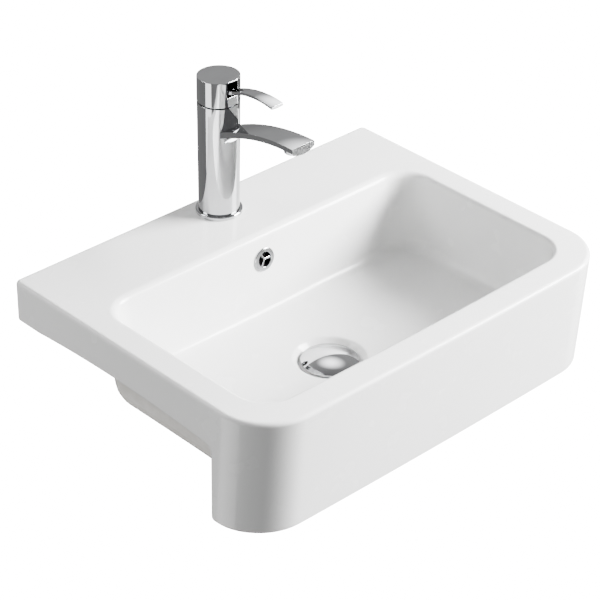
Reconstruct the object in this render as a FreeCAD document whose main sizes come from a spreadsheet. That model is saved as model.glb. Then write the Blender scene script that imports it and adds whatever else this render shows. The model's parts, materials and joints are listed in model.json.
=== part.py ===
"""Semi-recessed wash basin with a single-lever mixer tap, an overflow trim and a push waste.

Millimetres, +Z up, -Y towards the user. The origin is on the worktop, on the basin's centre line,
under the middle of the bearing strip along the basin's back edge.
"""
import FreeCAD, Part
import math
import os

import Sketcher

Vector = FreeCAD.Vector
document = FreeCAD.newDocument("WashBasin")


# ---------------------------------------------------------------- driving dimensions

SIZES = [
    # basin, outside
    ("basin_half_width", 260),
    ("basin_back", 6),
    ("basin_front", -384),
    ("deck_top", 49),
    ("apron_bottom", -90.4),
    ("apron_inset", 9),
    ("apron_rear", -307),
    ("front_corner", 60),
    ("back_corner", 7),
    ("skirt_wall", 12),
    ("deck_thickness", 12),
    ("bearing_depth", 40),
    ("arch_radius", 1566),
    ("apron_fillet", 7),
    ("top_edge", 4.5),
    # bowl
    ("bowl_half_width", 224.8),
    ("bowl_back", -100),
    ("bowl_front", -348.7),
    ("bowl_corner", 36),
    ("crease_level", -45.5),
    ("crease_half_width", 222.5),
    ("crease_back", -109.6),
    ("crease_front", -344),
    ("crease_fillet", 15),
    ("bowl_wall", 11),
    ("rim_edge", 5),
    # waste hole, overflow passage and tap hole
    ("waste_centre", -210),
    ("recess_lip", -59),
    ("recess_floor", -67),
    ("recess_radius", 41),
    ("recess_slope", 6),
    ("waste_hole", 23),
    ("boss_radius", 41),
    ("boss_bottom", -88),
    ("passage_half_width", 13),
    ("passage_wall", 9),
    ("passage_rear", -83),
    ("passage_front", -92),
    ("passage_floor", -81),
    ("passage_roof", -74),
    ("overflow_level", 18),
    ("overflow_face", -103.2),
    ("overflow_hole", 11.2),
    ("overflow_tilt", 5.8),
    ("trim_radius", 14),
    ("trim_bore", 9),
    ("trim_thickness", 1.9),
    ("trim_edge", 1.2),
    ("trim_sleeve", 8),
    ("spoke_half_width", 1.1),
    ("spoke_setback", 1),
    ("spoke_depth", 2),
    ("tap_centre", -29),
    ("tap_hole", 17.5),
    # tap: heights are above the deck
    ("ring_radius", 26.5),
    ("ring_height", 4.6),
    ("column_foot_radius", 23.2),
    ("column_top_radius", 23.85),
    ("column_height", 137.3),
    ("collar_radius", 20.2),
    ("collar_height", 140.2),
    ("facet_depth", 1.1),
    ("facet_bottom", 96),
    ("facet_run_out", 1.7),
    ("small_edge", 0.5),
    ("spigot_radius", 16.9),
    ("foot_bore", 14.6),
    ("foot_bore_height", 40),
    ("inlet_offset", 7.4),
    ("inlet_line", -3),
    ("inlet_thread", 4.5),
    ("inlet_depth", 12),
    ("outlet_line", -9.5),
    ("outlet_depth", 8),
    ("waterway", 3),
    ("stud_offset", 9),
    ("stud_radius", 3),
    ("stud_grip", 12),
    ("stud_below_deck", 38),
    ("clamp_radius", 21.5),
    ("clamp_thickness", 3),
    ("clamp_gap", 12.3),
    ("clamp_gap_end", 1.6),
    ("clamp_throat", 5),
    ("clamp_throat_end", 4.6),
    ("fixing_nut_flat", 5.5),
    ("fixing_nut_length", 14),
    ("ring_edge", 1.6),
    ("gasket_thickness", 1.5),
    ("chamber_radius", 17.5),
    ("chamber_floor", 109.8),
    ("cap_radius", 24),
    ("cap_bottom", 138.9),
    ("cap_top", 168),
    ("cap_slant", 1.5),
    ("cap_bore", 21),
    ("cap_roof", 2.6),
    ("cap_facet_depth", 1.25),
    ("slot_half_width", 7.7),
    ("slot_bottom", 149.5),
    ("slot_top", 166.8),
    ("slot_end", 12),
    ("plate_bottom", 141),
    ("plate_thickness", 2.4),
    # spout: an arc in the middle plane
    ("spout_arc", 267),
    ("spout_sweep", 28),
    ("spout_reach", 134),
    ("spout_tip_top", 135.6),
    ("spout_root_half_width", 14.6),
    ("spout_tip_half_width", 16),
    ("spout_side", 4.7),
    ("spout_crown", 180),
    ("spout_belly", 28),
    ("spout_thickness", 10.2),
    ("spout_channel", 9),
    ("spout_channel_floor", 6.6),
    ("spout_channel_roof", 2.2),
    ("outlet_wall", 2),
    ("outlet_lip", 1.6),
    ("outlet_seat", 5),
    ("washer_thickness", 1.3),
    ("aerator_reach", 119),
    ("aerator_radius", 9),
    ("aerator_bore", 7.2),
    ("jet_circle", 4.6),
    ("jet_radius", 1),
    # lever: an arc in the middle plane
    ("lever_arc", 114),
    ("lever_sweep_front", 12),
    ("lever_sweep_back", 38),
    ("lever_crest_reach", 72.6),
    ("lever_crest", 169.5),
    ("lever_reach", 93.5),
    ("lever_thickness", 3.2),
    ("lever_crown", 0.6),
    ("lever_belly", 60),
    ("lever_round", 75),
    ("lever_root_half_width", 7),
    ("lever_tip_half_width", 8.5),
    ("hub_radius", 8),
    ("hub_bottom", 147.4),
    ("hub_top", 155.5),
    ("hub_neck", 5.5),
    ("screw_level", 150.4),
    ("screw_radius", 2),
    ("screw_length", 3.2),
    ("pivot_height", 136),
    # cartridge
    ("housing_radius", 17.2),
    ("housing_bore", 15.5),
    ("cartridge_height", 23),
    ("cartridge_floor", 2.5),
    ("cartridge_roof", 2.6),
    ("seal_thickness", 1.5),
    ("seal_width", 0.9),
    ("fixed_disc_thickness", 3),
    ("moving_disc_thickness", 8),
    ("disc_radius", 10),
    ("mouth_half_width", 3.4),
    ("mouth_half_length", 4.8),
    ("mouth_depth", 4.2),
    ("nut_height", 6),
    ("stem_radius", 4),
    ("stem_top", 153),
    ("pin_radius", 1.5),
    ("pin_length", 17),
    ("rotor_neck", 9),
    ("rotor_flange", 14),
    ("rotor_top", 144),
    ("window_half_length", 7.2),
    # waste: levels are in the basin's frame
    ("flange_radius", 28.5),
    ("flange_top", -63.5),
    ("flange_bottom", -65.5),
    ("tail_radius", 20.95),
    ("body_radius", 21.3),
    ("tail_bore", 18),
    ("tail_end", -150),
    ("waste_slot_half_width", 6),
    ("lower_seal_thickness", 4),
    ("nut_collar_radius", 33),
    ("back_nut_height", 10),
    ("carrier_radius", 9),
    ("carrier_top", -82),
    ("carrier_floor", -112),
    ("carrier_bottom", -116),
    ("arm_top", -100),
    ("arm_height", 10),
    ("spindle_radius", 4),
    ("spindle_collar", -90),
    ("plug_underside", -62),
    ("cap_dome_radius", 32.5),
    ("dome_crown", 5.8),
]

PUSH_GAP = 0.3
SLIP_GAP = 0.05
THREAD_GAP = 0.02


class Size:
    """A number together with the spreadsheet expression it comes from."""

    def __init__(self, value, text):
        self.value = value
        self.text = text

    @staticmethod
    def of(thing):
        return thing if isinstance(thing, Size) else Size(float(thing), repr(float(thing)))

    def __add__(self, other):
        other = Size.of(other)
        return Size(self.value + other.value, f"({self.text} + {other.text})")

    def __radd__(self, other):
        return Size.of(other) + self

    def __sub__(self, other):
        other = Size.of(other)
        return Size(self.value - other.value, f"({self.text} - {other.text})")

    def __rsub__(self, other):
        return Size.of(other) - self

    def __mul__(self, factor):
        return Size(self.value * factor, f"({self.text} * {factor})")

    def __neg__(self):
        return self * -1


def make_sheet():
    """Put the driving dimensions into the spreadsheet and return them as an object with named Sizes."""
    sheet = document.addObject("Spreadsheet::Sheet", "Sizes")
    named = {}
    for row, (alias, value) in enumerate(SIZES, start=1):
        sheet.set(f"A{row}", alias)
        sheet.set(f"B{row}", str(value))
        sheet.setAlias(f"B{row}", alias)
        named[alias] = Size(float(value), f"Sizes.{alias}")
    document.recompute()
    return type("Dimensions", (), named)


D = make_sheet()


# ---------------------------------------------------------------- helpers: bodies and sketches

NODES = []


def set_size(thing, path, size):
    """Set a numeric property and bind it to the spreadsheet."""
    size = Size.of(size)
    thing.setExpression(path, size.text)


def new_body(label, at=(0, 0, 0), kept=True):
    """A PartDesign body whose own origin sits at the given point."""
    body = document.addObject("PartDesign::Body", label)
    body.Label = label
    place(body, at)
    if kept:
        NODES.append(body)
    return body


def place(thing, at):
    """Bind an object's position to the spreadsheet."""
    for axis, value in zip("xyz", at):
        set_size(thing, f"Placement.Base.{axis}", value)


def lean_back(thing, angle):
    """Tilt an object so that its front looks upwards by the angle."""
    thing.Placement = FreeCAD.Placement(thing.Placement.Base, FreeCAD.Rotation(Vector(-1, 0, 0), angle.value))
    thing.setExpression("Placement.Rotation.Angle", angle.text)


def new_sketch(body, plane, name, offset=0):
    """A sketch on one of the body's own origin planes, moved along the plane's normal."""
    sketch = body.newObject("Sketcher::SketchObject", f"{body.Label}_{name}")
    support = [f for f in body.Origin.OriginFeatures if f.Role == plane][0]
    sketch.AttachmentSupport = [(support, "")]
    sketch.MapMode = "FlatFace"
    set_size(sketch, "AttachmentOffset.Base.z", offset)
    return sketch


def bind(sketch, constraint, size):
    index = sketch.addConstraint(constraint)
    if isinstance(size, Size):
        sketch.setExpression(f"Constraints[{index}]", size.text)


def fix_point(sketch, geometry, end, x, y):
    """Hold one end of a line or arc at x, y from the sketch's origin."""
    for kind, size in (("DistanceX", x), ("DistanceY", y)):
        bind(sketch, Sketcher.Constraint(kind, -1, 1, geometry, end, Size.of(size).value), size)


def outline(sketch, corners):
    """Draw a closed outline, anticlockwise, through (x, y) corners.

    A corner may be (x, y, radius): the side that starts there is then an arc of that radius which
    bulges outwards, or inwards where the radius is negative.
    """
    first = sketch.GeometryCount
    count = len(corners)
    starts = []
    ends = []
    for i, corner in enumerate(corners):
        a = Vector(Size.of(corner[0]).value, Size.of(corner[1]).value, 0)
        following = corners[(i + 1) % count]
        b = Vector(Size.of(following[0]).value, Size.of(following[1]).value, 0)
        if len(corner) == 2:
            sketch.addGeometry(Part.LineSegment(a, b))
            starts.append(1)
            ends.append(2)
            continue
        radius = Size.of(corner[2]).value
        chord = b - a
        to_centre = math.sqrt(radius ** 2 - (chord.Length / 2) ** 2)
        left = Vector(-chord.y, chord.x, 0).normalize()
        outward = radius > 0
        centre = (a + b) * 0.5 + left * (to_centre if outward else -to_centre)
        angle_a = math.atan2(a.y - centre.y, a.x - centre.x)
        angle_b = math.atan2(b.y - centre.y, b.x - centre.x)
        circle = Part.Circle(centre, Vector(0, 0, 1), abs(radius))
        span = (angle_a, angle_b) if outward else (angle_b, angle_a)
        sketch.addGeometry(Part.ArcOfCircle(circle, *span))
        starts.append(1 if outward else 2)
        ends.append(2 if outward else 1)
    for i in range(count):
        j = (i + 1) % count
        sketch.addConstraint(Sketcher.Constraint("Coincident", first + i, ends[i], first + j, starts[j]))
    for i, corner in enumerate(corners):
        fix_point(sketch, first + i, starts[i], corner[0], corner[1])
        if len(corner) == 3:
            radius = Size.of(corner[2])
            size = radius if radius.value > 0 else -radius
            bind(sketch, Sketcher.Constraint("Radius", first + i, size.value), size)


def circle(sketch, x, y, radius):
    centre = Vector(Size.of(x).value, Size.of(y).value, 0)
    index = sketch.addGeometry(Part.Circle(centre, Vector(0, 0, 1), Size.of(radius).value))
    bind(sketch, Sketcher.Constraint("Radius", index, Size.of(radius).value), radius)
    fix_point(sketch, index, 3, x, y)


def rounded_rectangle(sketch, half_width, low, high, corner):
    """A rectangle about the sketch's Y axis, from low to high, with equal round corners."""
    w, l, t, r = (Size.of(v).value for v in (half_width, low, high, corner))
    quarter = math.pi / 2
    centres = [(w - r, l + r, 3), (w - r, t - r, 0), (r - w, t - r, 1), (r - w, l + r, 2)]
    lines = [((r - w, l), (w - r, l)), ((w, l + r), (w, t - r)), ((w - r, t), (r - w, t)),
             ((-w, t - r), (-w, l + r))]
    for (ax, ay), (bx, by) in lines:
        sketch.addGeometry(Part.LineSegment(Vector(ax, ay, 0), Vector(bx, by, 0)))
    for x, y, turn in centres:
        arc = Part.Circle(Vector(x, y, 0), Vector(0, 0, 1), r)
        sketch.addGeometry(Part.ArcOfCircle(arc, turn * quarter, (turn + 1) * quarter))
    for i in range(4):
        sketch.addConstraint(Sketcher.Constraint("Tangent", i, 2, 4 + i, 1))
        sketch.addConstraint(Sketcher.Constraint("Tangent", 4 + i, 2, (i + 1) % 4, 1))
        sketch.addConstraint(Sketcher.Constraint("Horizontal" if i % 2 == 0 else "Vertical", i))
        bind(sketch, Sketcher.Constraint("Radius", 4 + i, r), corner)
    sides = [("DistanceY", 0, l, low), ("DistanceX", 1, w, half_width),
             ("DistanceY", 2, t, high), ("DistanceX", 3, -w, -Size.of(half_width))]
    for kind, line, value, size in sides:
        bind(sketch, Sketcher.Constraint(kind, -1, 1, line, 1, value), size)


def rectangle(half_width, low, high):
    """The corners of a rectangle about the sketch's Y axis, from low to high."""
    return [(-half_width, low), (half_width, low), (half_width, high), (-half_width, high)]


def hexagon_corners(radius, x, y):
    """The corners of a regular hexagon about the point x, y."""
    angles = [math.radians(60 * i) for i in range(6)]
    return [(x + radius * math.cos(angle), y + radius * math.sin(angle)) for angle in angles]


def edges_where(feature, test):
    """The names of the feature's edges for which the test holds."""
    document.recompute()
    return [f"Edge{i}" for i, edge in enumerate(feature.Shape.Edges, start=1) if test(edge)]


def level_edge(level):
    """A test for edges that lie wholly at one height."""
    def test(edge):
        box = edge.BoundBox
        return abs(box.ZMin - level) < 0.01 and abs(box.ZMax - level) < 0.01
    return test


# ---------------------------------------------------------------- helpers: solid features

def revolve(body, corners, name="profile", cut=False):
    """Turn an (r, z) outline about the body's Z axis."""
    sketch = new_sketch(body, "XZ_Plane", name)
    outline(sketch, corners)
    kind = "PartDesign::Groove" if cut else "PartDesign::Revolution"
    feature = body.newObject(kind, f"{body.Label}_{name}_turned")
    feature.Profile = sketch
    feature.ReferenceAxis = (sketch, ["V_Axis"])
    feature.Angle = 360
    document.recompute()
    return feature


def pad(body, sketch, length, midplane=False, reverse=False):
    feature = body.newObject("PartDesign::Pad", f"{sketch.Name}_pad")
    feature.Profile = sketch
    set_size(feature, "Length", length)
    feature.Midplane = midplane
    feature.Reversed = reverse
    document.recompute()
    return feature


def pocket(body, sketch, length, midplane=False, reverse=False):
    """Cut a sketch into the body, and stop if nothing was removed."""
    before = body.Shape.Volume
    feature = body.newObject("PartDesign::Pocket", f"{sketch.Name}_pocket")
    feature.Profile = sketch
    set_size(feature, "Length", length)
    feature.Midplane = midplane
    feature.Reversed = reverse
    document.recompute()
    if not body.Shape.Volume < before - 0.01:
        raise RuntimeError(f"{feature.Name} removed nothing")
    return feature


def hole(body, x, y, radius, top, depth, name):
    """A round hole about a vertical axis, from the level top downwards."""
    sketch = new_sketch(body, "XY_Plane", name, top)
    circle(sketch, x, y, radius)
    return pocket(body, sketch, depth)


def post(body, x, y, radius, bottom, height, name):
    """A round boss about a vertical axis, from the level bottom upwards."""
    sketch = new_sketch(body, "XY_Plane", name, bottom)
    circle(sketch, x, y, radius)
    return pad(body, sketch, height)


def spread(body, feature, axis, count):
    """Repeat a feature around one of the body's own axes."""
    pattern = body.newObject("PartDesign::PolarPattern", f"{feature.Name}_around")
    pattern.Originals = [feature]
    line = [f for f in body.Origin.OriginFeatures if f.Role == axis][0]
    pattern.Axis = (line, [""])
    pattern.Angle = 360
    pattern.Occurrences = count
    body.Tip = pattern
    document.recompute()
    return pattern


def loft(body, name, sections):
    """Join level rounded rectangles (half_width, low, high, corner, level) by straight walls."""
    sketches = []
    for i, (half_width, low, high, corner, level) in enumerate(sections):
        sketch = new_sketch(body, "XY_Plane", f"{name}_{i}", level)
        rounded_rectangle(sketch, half_width, low, high, corner)
        sketches.append(sketch)
    feature = body.newObject("PartDesign::AdditiveLoft", f"{body.Label}_{name}")
    feature.Profile = sketches[0]
    feature.Sections = sketches[1:]
    feature.Ruled = True
    document.recompute()
    return feature


def fillet(body, base, names, radius, kind="Fillet"):
    feature = body.newObject(f"PartDesign::{kind}", f"{base.Name}_{kind.lower()}")
    feature.Base = (base, names)
    set_size(feature, "Radius" if kind == "Fillet" else "Size", radius)
    document.recompute()
    return feature


def boolean(kind, name, base, tool, kept=False):
    """Part::Cut or Part::Common of two objects of the document."""
    result = document.addObject(f"Part::{kind}", name)
    result.Base = base
    result.Tool = tool
    document.recompute()
    if kept:
        result.Label = name
        NODES.append(result)
    return result


def rounded(name, base, edges, radius):
    """A kept node: the base with the given edges rounded."""
    result = document.addObject("Part::Fillet", name)
    result.Base = base
    result.Edges = [(index, radius.value, radius.value) for index in edges]
    result.Label = name
    document.recompute()
    NODES.append(result)
    return result


def fuse(name, *shapes):
    result = document.addObject("Part::MultiFuse", name)
    result.Shapes = list(shapes)
    document.recompute()
    return result


def ring(label, at, inner, outer, bottom, top):
    """A plain flat ring or tube as a body of its own."""
    body = new_body(label, at)
    revolve(body, [(inner, bottom), (outer, bottom), (outer, top), (inner, top)])
    return body


# ---------------------------------------------------------------- basin

TAP = (0, D.tap_centre, D.deck_top)
WASTE = (0, D.waste_centre, 0)


def basin_outside():
    """The block that the slab and the apron are cut from, with its plan corners rounded."""
    body = new_body("outside_form", kept=False)
    sections = []
    for level, inset in ((D.apron_bottom, D.apron_inset), (D.deck_top, Size.of(0))):
        sketch = new_sketch(body, "XY_Plane", f"plan_{len(sections)}", level)
        front = D.basin_front + inset
        w = D.basin_half_width
        c = D.front_corner
        b = D.back_corner
        back = D.basin_back
        outline(sketch, [(c - w, front), (w - c, front, c), (w, front + c), (w, back - b, b),
                         (w - b, back), (b - w, back, b), (-w, back - b), (-w, front + c, c)])
        sections.append(sketch)
    block = body.newObject("PartDesign::AdditiveLoft", "outside_form_block")
    block.Profile = sections[0]
    block.Sections = [sections[1]]
    block.Ruled = True
    document.recompute()
    # The room under the slab, behind the apron: the worktop goes here.
    room = new_sketch(body, "YZ_Plane", "worktop_room")
    rear = D.basin_back + 1
    r = D.apron_fillet
    below = D.apron_bottom - 5
    outline(room, [(D.apron_rear, below), (rear, below), (rear, 0), (D.basin_back - D.bearing_depth, 0,
                   D.arch_radius), (D.apron_rear + r, 0, r), (D.apron_rear, -r)])
    cut = pocket(body, room, D.basin_half_width * 2 + 10, midplane=True)
    top = edges_where(cut, level_edge(D.deck_top.value))
    fillet(body, cut, top, D.top_edge)
    return body


def basin_hollow():
    """The space inside the skirt and the apron, open underneath."""
    body = new_body("hollow_form", kept=False)
    w = D.basin_half_width - D.skirt_wall
    front = D.basin_front + D.skirt_wall
    back = D.basin_back - D.skirt_wall
    corner = D.front_corner - D.skirt_wall
    sections = []
    for level, inset in ((D.apron_bottom - 2, D.apron_inset), (D.deck_top - D.deck_thickness, Size.of(0))):
        sketch = new_sketch(body, "XY_Plane", f"plan_{len(sections)}", level)
        f = front + inset
        outline(sketch, [(corner - w, f), (w - corner, f, corner), (w, f + corner), (w, back),
                         (-w, back), (-w, f + corner, corner)])
        sections.append(sketch)
    block = body.newObject("PartDesign::AdditiveLoft", "hollow_form_block")
    block.Profile = sections[0]
    block.Sections = [sections[1]]
    block.Ruled = True
    document.recompute()
    return body


def bowl_form(label, grow, top):
    """The bowl's hollow, or the outside of its wall where it is grown by the wall thickness."""
    body = new_body(label, kept=False)
    crease = D.crease_level - grow
    lip = D.recess_radius + grow + 0.5
    lip_corner = D.recess_radius + grow
    loft(body, "walls", [
        (D.bowl_half_width + grow, D.bowl_front - grow, D.bowl_back + grow, D.bowl_corner + grow, top),
        (D.crease_half_width + grow, D.crease_front - grow, D.crease_back + grow,
         D.bowl_corner + grow, crease)])
    floor = loft(body, "floor", [
        (D.crease_half_width + grow, D.crease_front - grow, D.crease_back + grow,
         D.bowl_corner + grow, crease),
        (lip, D.waste_centre - lip, D.waste_centre + lip, lip_corner, D.recess_lip - grow)])
    crease_edges = edges_where(floor, level_edge(crease.value))
    fillet(body, floor, crease_edges, D.crease_fillet)
    return body


def overflow_passage(label, grow):
    """The passage from the overflow hole down behind the bowl and under it to the waste hole."""
    body = new_body(label, kept=False)
    sketch = new_sketch(body, "YZ_Plane", "route")
    end = D.waste_centre + D.waste_hole - 3
    rear = D.passage_rear + grow
    front = D.passage_front - grow * 0.5
    floor = D.passage_floor - grow * (7 / 9)
    roof = D.passage_roof + grow * 0.5
    top = D.overflow_level + D.overflow_hole + 1 + grow * 0.5
    r = 6 + grow
    outline(sketch, [(end, floor), (rear - r, floor, r), (rear, floor + r), (rear, top),
                     (front, top), (front, roof), (end, roof)])
    pad(body, sketch, D.passage_half_width * 2 + grow * 2, midplane=True)
    return body


def basin_openings():
    """What is bored out of the finished bowl: waste recess and hole, tap hole, overflow hole."""
    waste = new_body("waste_bore", WASTE, kept=False)
    revolve(waste, [(0, D.boss_bottom - 5), (D.waste_hole, D.boss_bottom - 5),
                    (D.waste_hole, D.recess_floor), (D.recess_radius - D.recess_slope, D.recess_floor),
                    (D.recess_radius, D.recess_lip), (D.recess_radius, D.recess_lip + 8),
                    (0, D.recess_lip + 8)])
    tap = new_body("tap_bore", (0, D.tap_centre, 0), kept=False)
    revolve(tap, [(0, 0), (D.tap_hole, 0), (D.tap_hole, D.deck_top + 5), (0, D.deck_top + 5)])
    overflow = new_body("overflow_bore", (0, D.overflow_face, D.overflow_level), kept=False)
    sketch = new_sketch(overflow, "XZ_Plane", "circle", -6)
    circle(sketch, 0, 0, D.overflow_hole)
    pad(overflow, sketch, 20, midplane=True)
    lean_back(overflow, D.overflow_tilt)
    return fuse("bores", waste, tap, overflow)


def make_basin():
    shell = boolean("Cut", "skirted_slab", basin_outside(), basin_hollow())
    wall = bowl_form("bowl_wall_form", D.bowl_wall, D.deck_top - D.deck_thickness * 0.5)
    boss = new_body("waste_boss", WASTE, kept=False)
    revolve(boss, [(0, D.boss_bottom), (D.boss_radius, D.boss_bottom),
                   (D.boss_radius, D.recess_lip), (0, D.recess_lip)])
    solid = fuse("closed_basin", shell, wall, boss, overflow_passage("passage_wall_form", D.passage_wall))
    bowl = bowl_form("bowl_hollow_form", Size.of(0), D.deck_top)
    hollows = fuse("hollows", bowl, overflow_passage("passage_form", Size.of(0)), basin_openings())
    open_basin = boolean("Cut", "open_basin", solid, hollows)
    rounded("basin", open_basin, rim_edges(open_basin.Shape), D.rim_edge)


def rim_edges(shape):
    """The edges where the bowl meets the deck."""
    picked = []
    for i, edge in enumerate(shape.Edges, start=1):
        box = edge.BoundBox
        at_deck = abs(box.ZMin - D.deck_top.value) < 0.01 and abs(box.ZMax - D.deck_top.value) < 0.01
        inside = (abs(box.Center.x) < D.bowl_half_width.value + 1
                  and D.bowl_front.value - 1 < box.Center.y < D.bowl_back.value + 1)
        if at_deck and inside:
            picked.append(i)
    return picked


make_basin()


# ---------------------------------------------------------------- overflow trim

def make_overflow_trim():
    """A ring with a sleeve that pushes into the overflow hole, and three spokes across its bore."""
    body = new_body("overflow_trim", (0, D.overflow_face, D.overflow_level))
    lean_back(body, D.overflow_tilt)
    flange = new_sketch(body, "XZ_Plane", "flange")
    circle(flange, 0, 0, D.trim_radius)
    circle(flange, 0, 0, D.trim_bore)
    rim = pad(body, flange, D.trim_thickness)
    width = D.trim_radius.value * 2 - 1
    front_edge = edges_where(rim, lambda edge: edge.BoundBox.XLength > width and edge.BoundBox.YMax < -1)
    fillet(body, rim, front_edge, D.trim_edge)
    sleeve = new_sketch(body, "XZ_Plane", "sleeve")
    circle(sleeve, 0, 0, D.overflow_hole - PUSH_GAP)
    circle(sleeve, 0, 0, D.trim_bore)
    pad(body, sleeve, D.trim_sleeve, reverse=True)
    spoke = new_sketch(body, "XZ_Plane", "spoke", -D.spoke_setback)
    into_ring = D.trim_bore + 0.4
    half = D.spoke_half_width
    outline(spoke, [(0, -half), (into_ring, -half), (into_ring, half), (0, half)])
    arm = pad(body, spoke, D.spoke_depth, reverse=True)
    spread(body, arm, "Y_Axis", 3)


make_overflow_trim()


# ---------------------------------------------------------------- tap: the fixed pieces

def arc_blade(label, centre_reach, centre_height, section, front_angle, back_angle, plan):
    """A curved blade: an (x, r) section swung about an axis along X, trimmed to a plan outline.

    Angles are from straight up, positive towards the back.
    """
    centre = (0, D.tap_centre - centre_reach, D.deck_top + centre_height)
    swing = new_body(f"{label}_arc", centre, kept=False)
    sketch = new_sketch(swing, "XZ_Plane", "section")
    outline(sketch, section)
    turned = swing.newObject("PartDesign::Revolution", f"{label}_arc_turned")
    turned.Profile = sketch
    turned.ReferenceAxis = (sketch, ["H_Axis"])
    front = Size.of(front_angle)
    set_size(turned, "Angle", front + back_angle)
    turned.Reversed = True
    swing.Placement.Rotation = FreeCAD.Rotation(Vector(1, 0, 0), front.value)
    document.recompute()
    trim = new_body(f"{label}_plan", TAP, kept=False)
    top = new_sketch(trim, "XY_Plane", "plan")
    outline(top, plan)
    taller_than_the_tap = 200
    pad(trim, top, taller_than_the_tap)
    return boolean("Common", f"{label}_blade", swing, trim)


def outlet_place():
    """The middle of the spout's outlet, at the level of the blade's underside."""
    return (0, D.tap_centre - D.aerator_reach, D.deck_top + D.spout_tip_top - D.spout_thickness)


def make_spout():
    """The spout: a crowned blade that curves down to the column, with an outlet boss and a waterway."""
    radius = D.spout_arc
    arc_level = D.spout_tip_top - radius
    side = D.spout_tip_half_width + 1
    low = radius - D.spout_side
    section = [(-side, low, D.spout_belly), (side, low), (side, radius, D.spout_crown), (-side, radius)]
    tip = D.spout_tip_half_width
    root = D.spout_root_half_width
    inside_column = -12
    beyond_tip = -D.spout_reach - 5
    plan = [(-tip, beyond_tip), (tip, beyond_tip), (root, inside_column), (-root, inside_column)]
    blade = arc_blade("spout", D.spout_reach, arc_level, section, 0, D.spout_sweep, plan)
    boss = new_body("spout_outlet_boss", outlet_place(), kept=False)
    boss_radius = D.aerator_radius + D.outlet_wall
    revolve(boss, [(0, -D.outlet_lip), (boss_radius, -D.outlet_lip), (boss_radius, D.outlet_seat),
                   (0, D.outlet_seat)])
    bore = new_body("spout_outlet_bore", outlet_place(), kept=False)
    bore_bottom = -D.outlet_lip - 0.4
    bore_top = D.outlet_seat + D.washer_thickness + 0.1
    revolve(bore, [(0, bore_bottom), (D.aerator_radius, bore_bottom), (D.aerator_radius, bore_top),
                   (0, bore_top)])
    channel = D.spout_channel
    channel_section = rectangle(channel, radius - D.spout_channel_floor, radius - D.spout_channel_roof)
    channel_plan = rectangle(channel + 0.5, -D.aerator_reach - 4, 0)
    sweep = D.spout_sweep + 1
    way = arc_blade("spout_way", D.spout_reach, arc_level, channel_section, 0, sweep, channel_plan)
    body = fuse("spout_body", blade, boss)
    boolean("Cut", "spout", body, fuse("spout_hollows", bore, way), kept=True)
    return body


def make_aerator():
    """The aerator in the outlet: a turned housing, an insert with a ring of jets, and a washer."""
    seat = D.outlet_seat
    bore = D.aerator_bore
    flange = D.aerator_radius + 1.4
    flange_bottom = -D.outlet_lip * 2
    thread = D.aerator_radius - THREAD_GAP
    stop = bore - 1
    stop_level = seat - 0.8
    housing = new_body("aerator_housing", outlet_place())
    revolve(housing, [(bore, flange_bottom), (flange, flange_bottom), (flange, -D.outlet_lip),
                      (thread, -D.outlet_lip), (thread, seat), (stop, seat), (stop, stop_level),
                      (bore, stop_level)])
    insert = new_body("aerator_insert", outlet_place())
    insert_bottom = flange_bottom + 0.8
    insert_top = stop_level - 0.1
    revolve(insert, [(0, insert_bottom), (bore - SLIP_GAP, insert_bottom), (bore - SLIP_GAP, insert_top),
                     (0, insert_top)])
    jet = hole(insert, D.jet_circle, 0, D.jet_radius, insert_top, insert_top - insert_bottom, "jet")
    spread(insert, jet, "Z_Axis", 8)
    ring("aerator_washer", outlet_place(), bore - 1.6, D.aerator_radius - SLIP_GAP, seat,
         seat + D.washer_thickness)


def ports():
    """Name and plan position of the two inlets and the outlet."""
    return [("left_inlet", -D.inlet_offset, D.inlet_line), ("right_inlet", D.inlet_offset, D.inlet_line),
            ("outlet", Size.of(0), D.outlet_line)]


def make_column(spout_body):
    """The tap's column: outlet, cartridge chamber, inlet ports and stud hole, with a front facet."""
    body = new_body("column_form", TAP, kept=False)
    foot = D.column_foot_radius
    foot_groove = foot - 0.8
    top = D.column_top_radius
    shoulder = D.column_height
    spigot_bottom = -8
    revolve(body, [
        (0, D.foot_bore_height), (D.foot_bore, D.foot_bore_height), (D.foot_bore, spigot_bottom),
        (D.spigot_radius, spigot_bottom), (D.spigot_radius, D.ring_height), (foot_groove, D.ring_height),
        (foot_groove, D.ring_height + 0.8), (foot, D.ring_height + 1.4), (top, shoulder - D.small_edge),
        (top - D.small_edge, shoulder), (D.collar_radius, shoulder), (D.collar_radius, D.collar_height),
        (D.chamber_radius, D.collar_height), (D.chamber_radius, D.chamber_floor), (0, D.chamber_floor)])
    facet = new_sketch(body, "YZ_Plane", "facet")
    face = top - D.facet_depth
    outside = top + 7
    outline(facet, [(-outside, D.facet_bottom), (D.facet_run_out - face, D.facet_bottom),
                    (-face, shoulder + 1), (-outside, shoulder + 1)])
    pocket(body, facet, D.column_top_radius * 2, midplane=True)
    inlet_top = D.foot_bore_height + D.inlet_depth
    chamber = D.chamber_floor + 1
    for name, x, y in ports()[:2]:
        hole(body, x, y, D.inlet_thread, inlet_top, D.inlet_depth + 1, name)
        hole(body, x, y, D.waterway, chamber, chamber - inlet_top, f"{name}_waterway")
    name, x, y = ports()[2]
    hole(body, x, y, D.waterway, chamber, D.outlet_depth, name)
    stud_top = D.foot_bore_height + D.stud_grip + 2
    hole(body, 0, D.stud_offset, D.stud_radius, stud_top, D.stud_grip + 3, "stud_hole")
    boolean("Cut", "tap_column", body, spout_body, kept=True)


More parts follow.
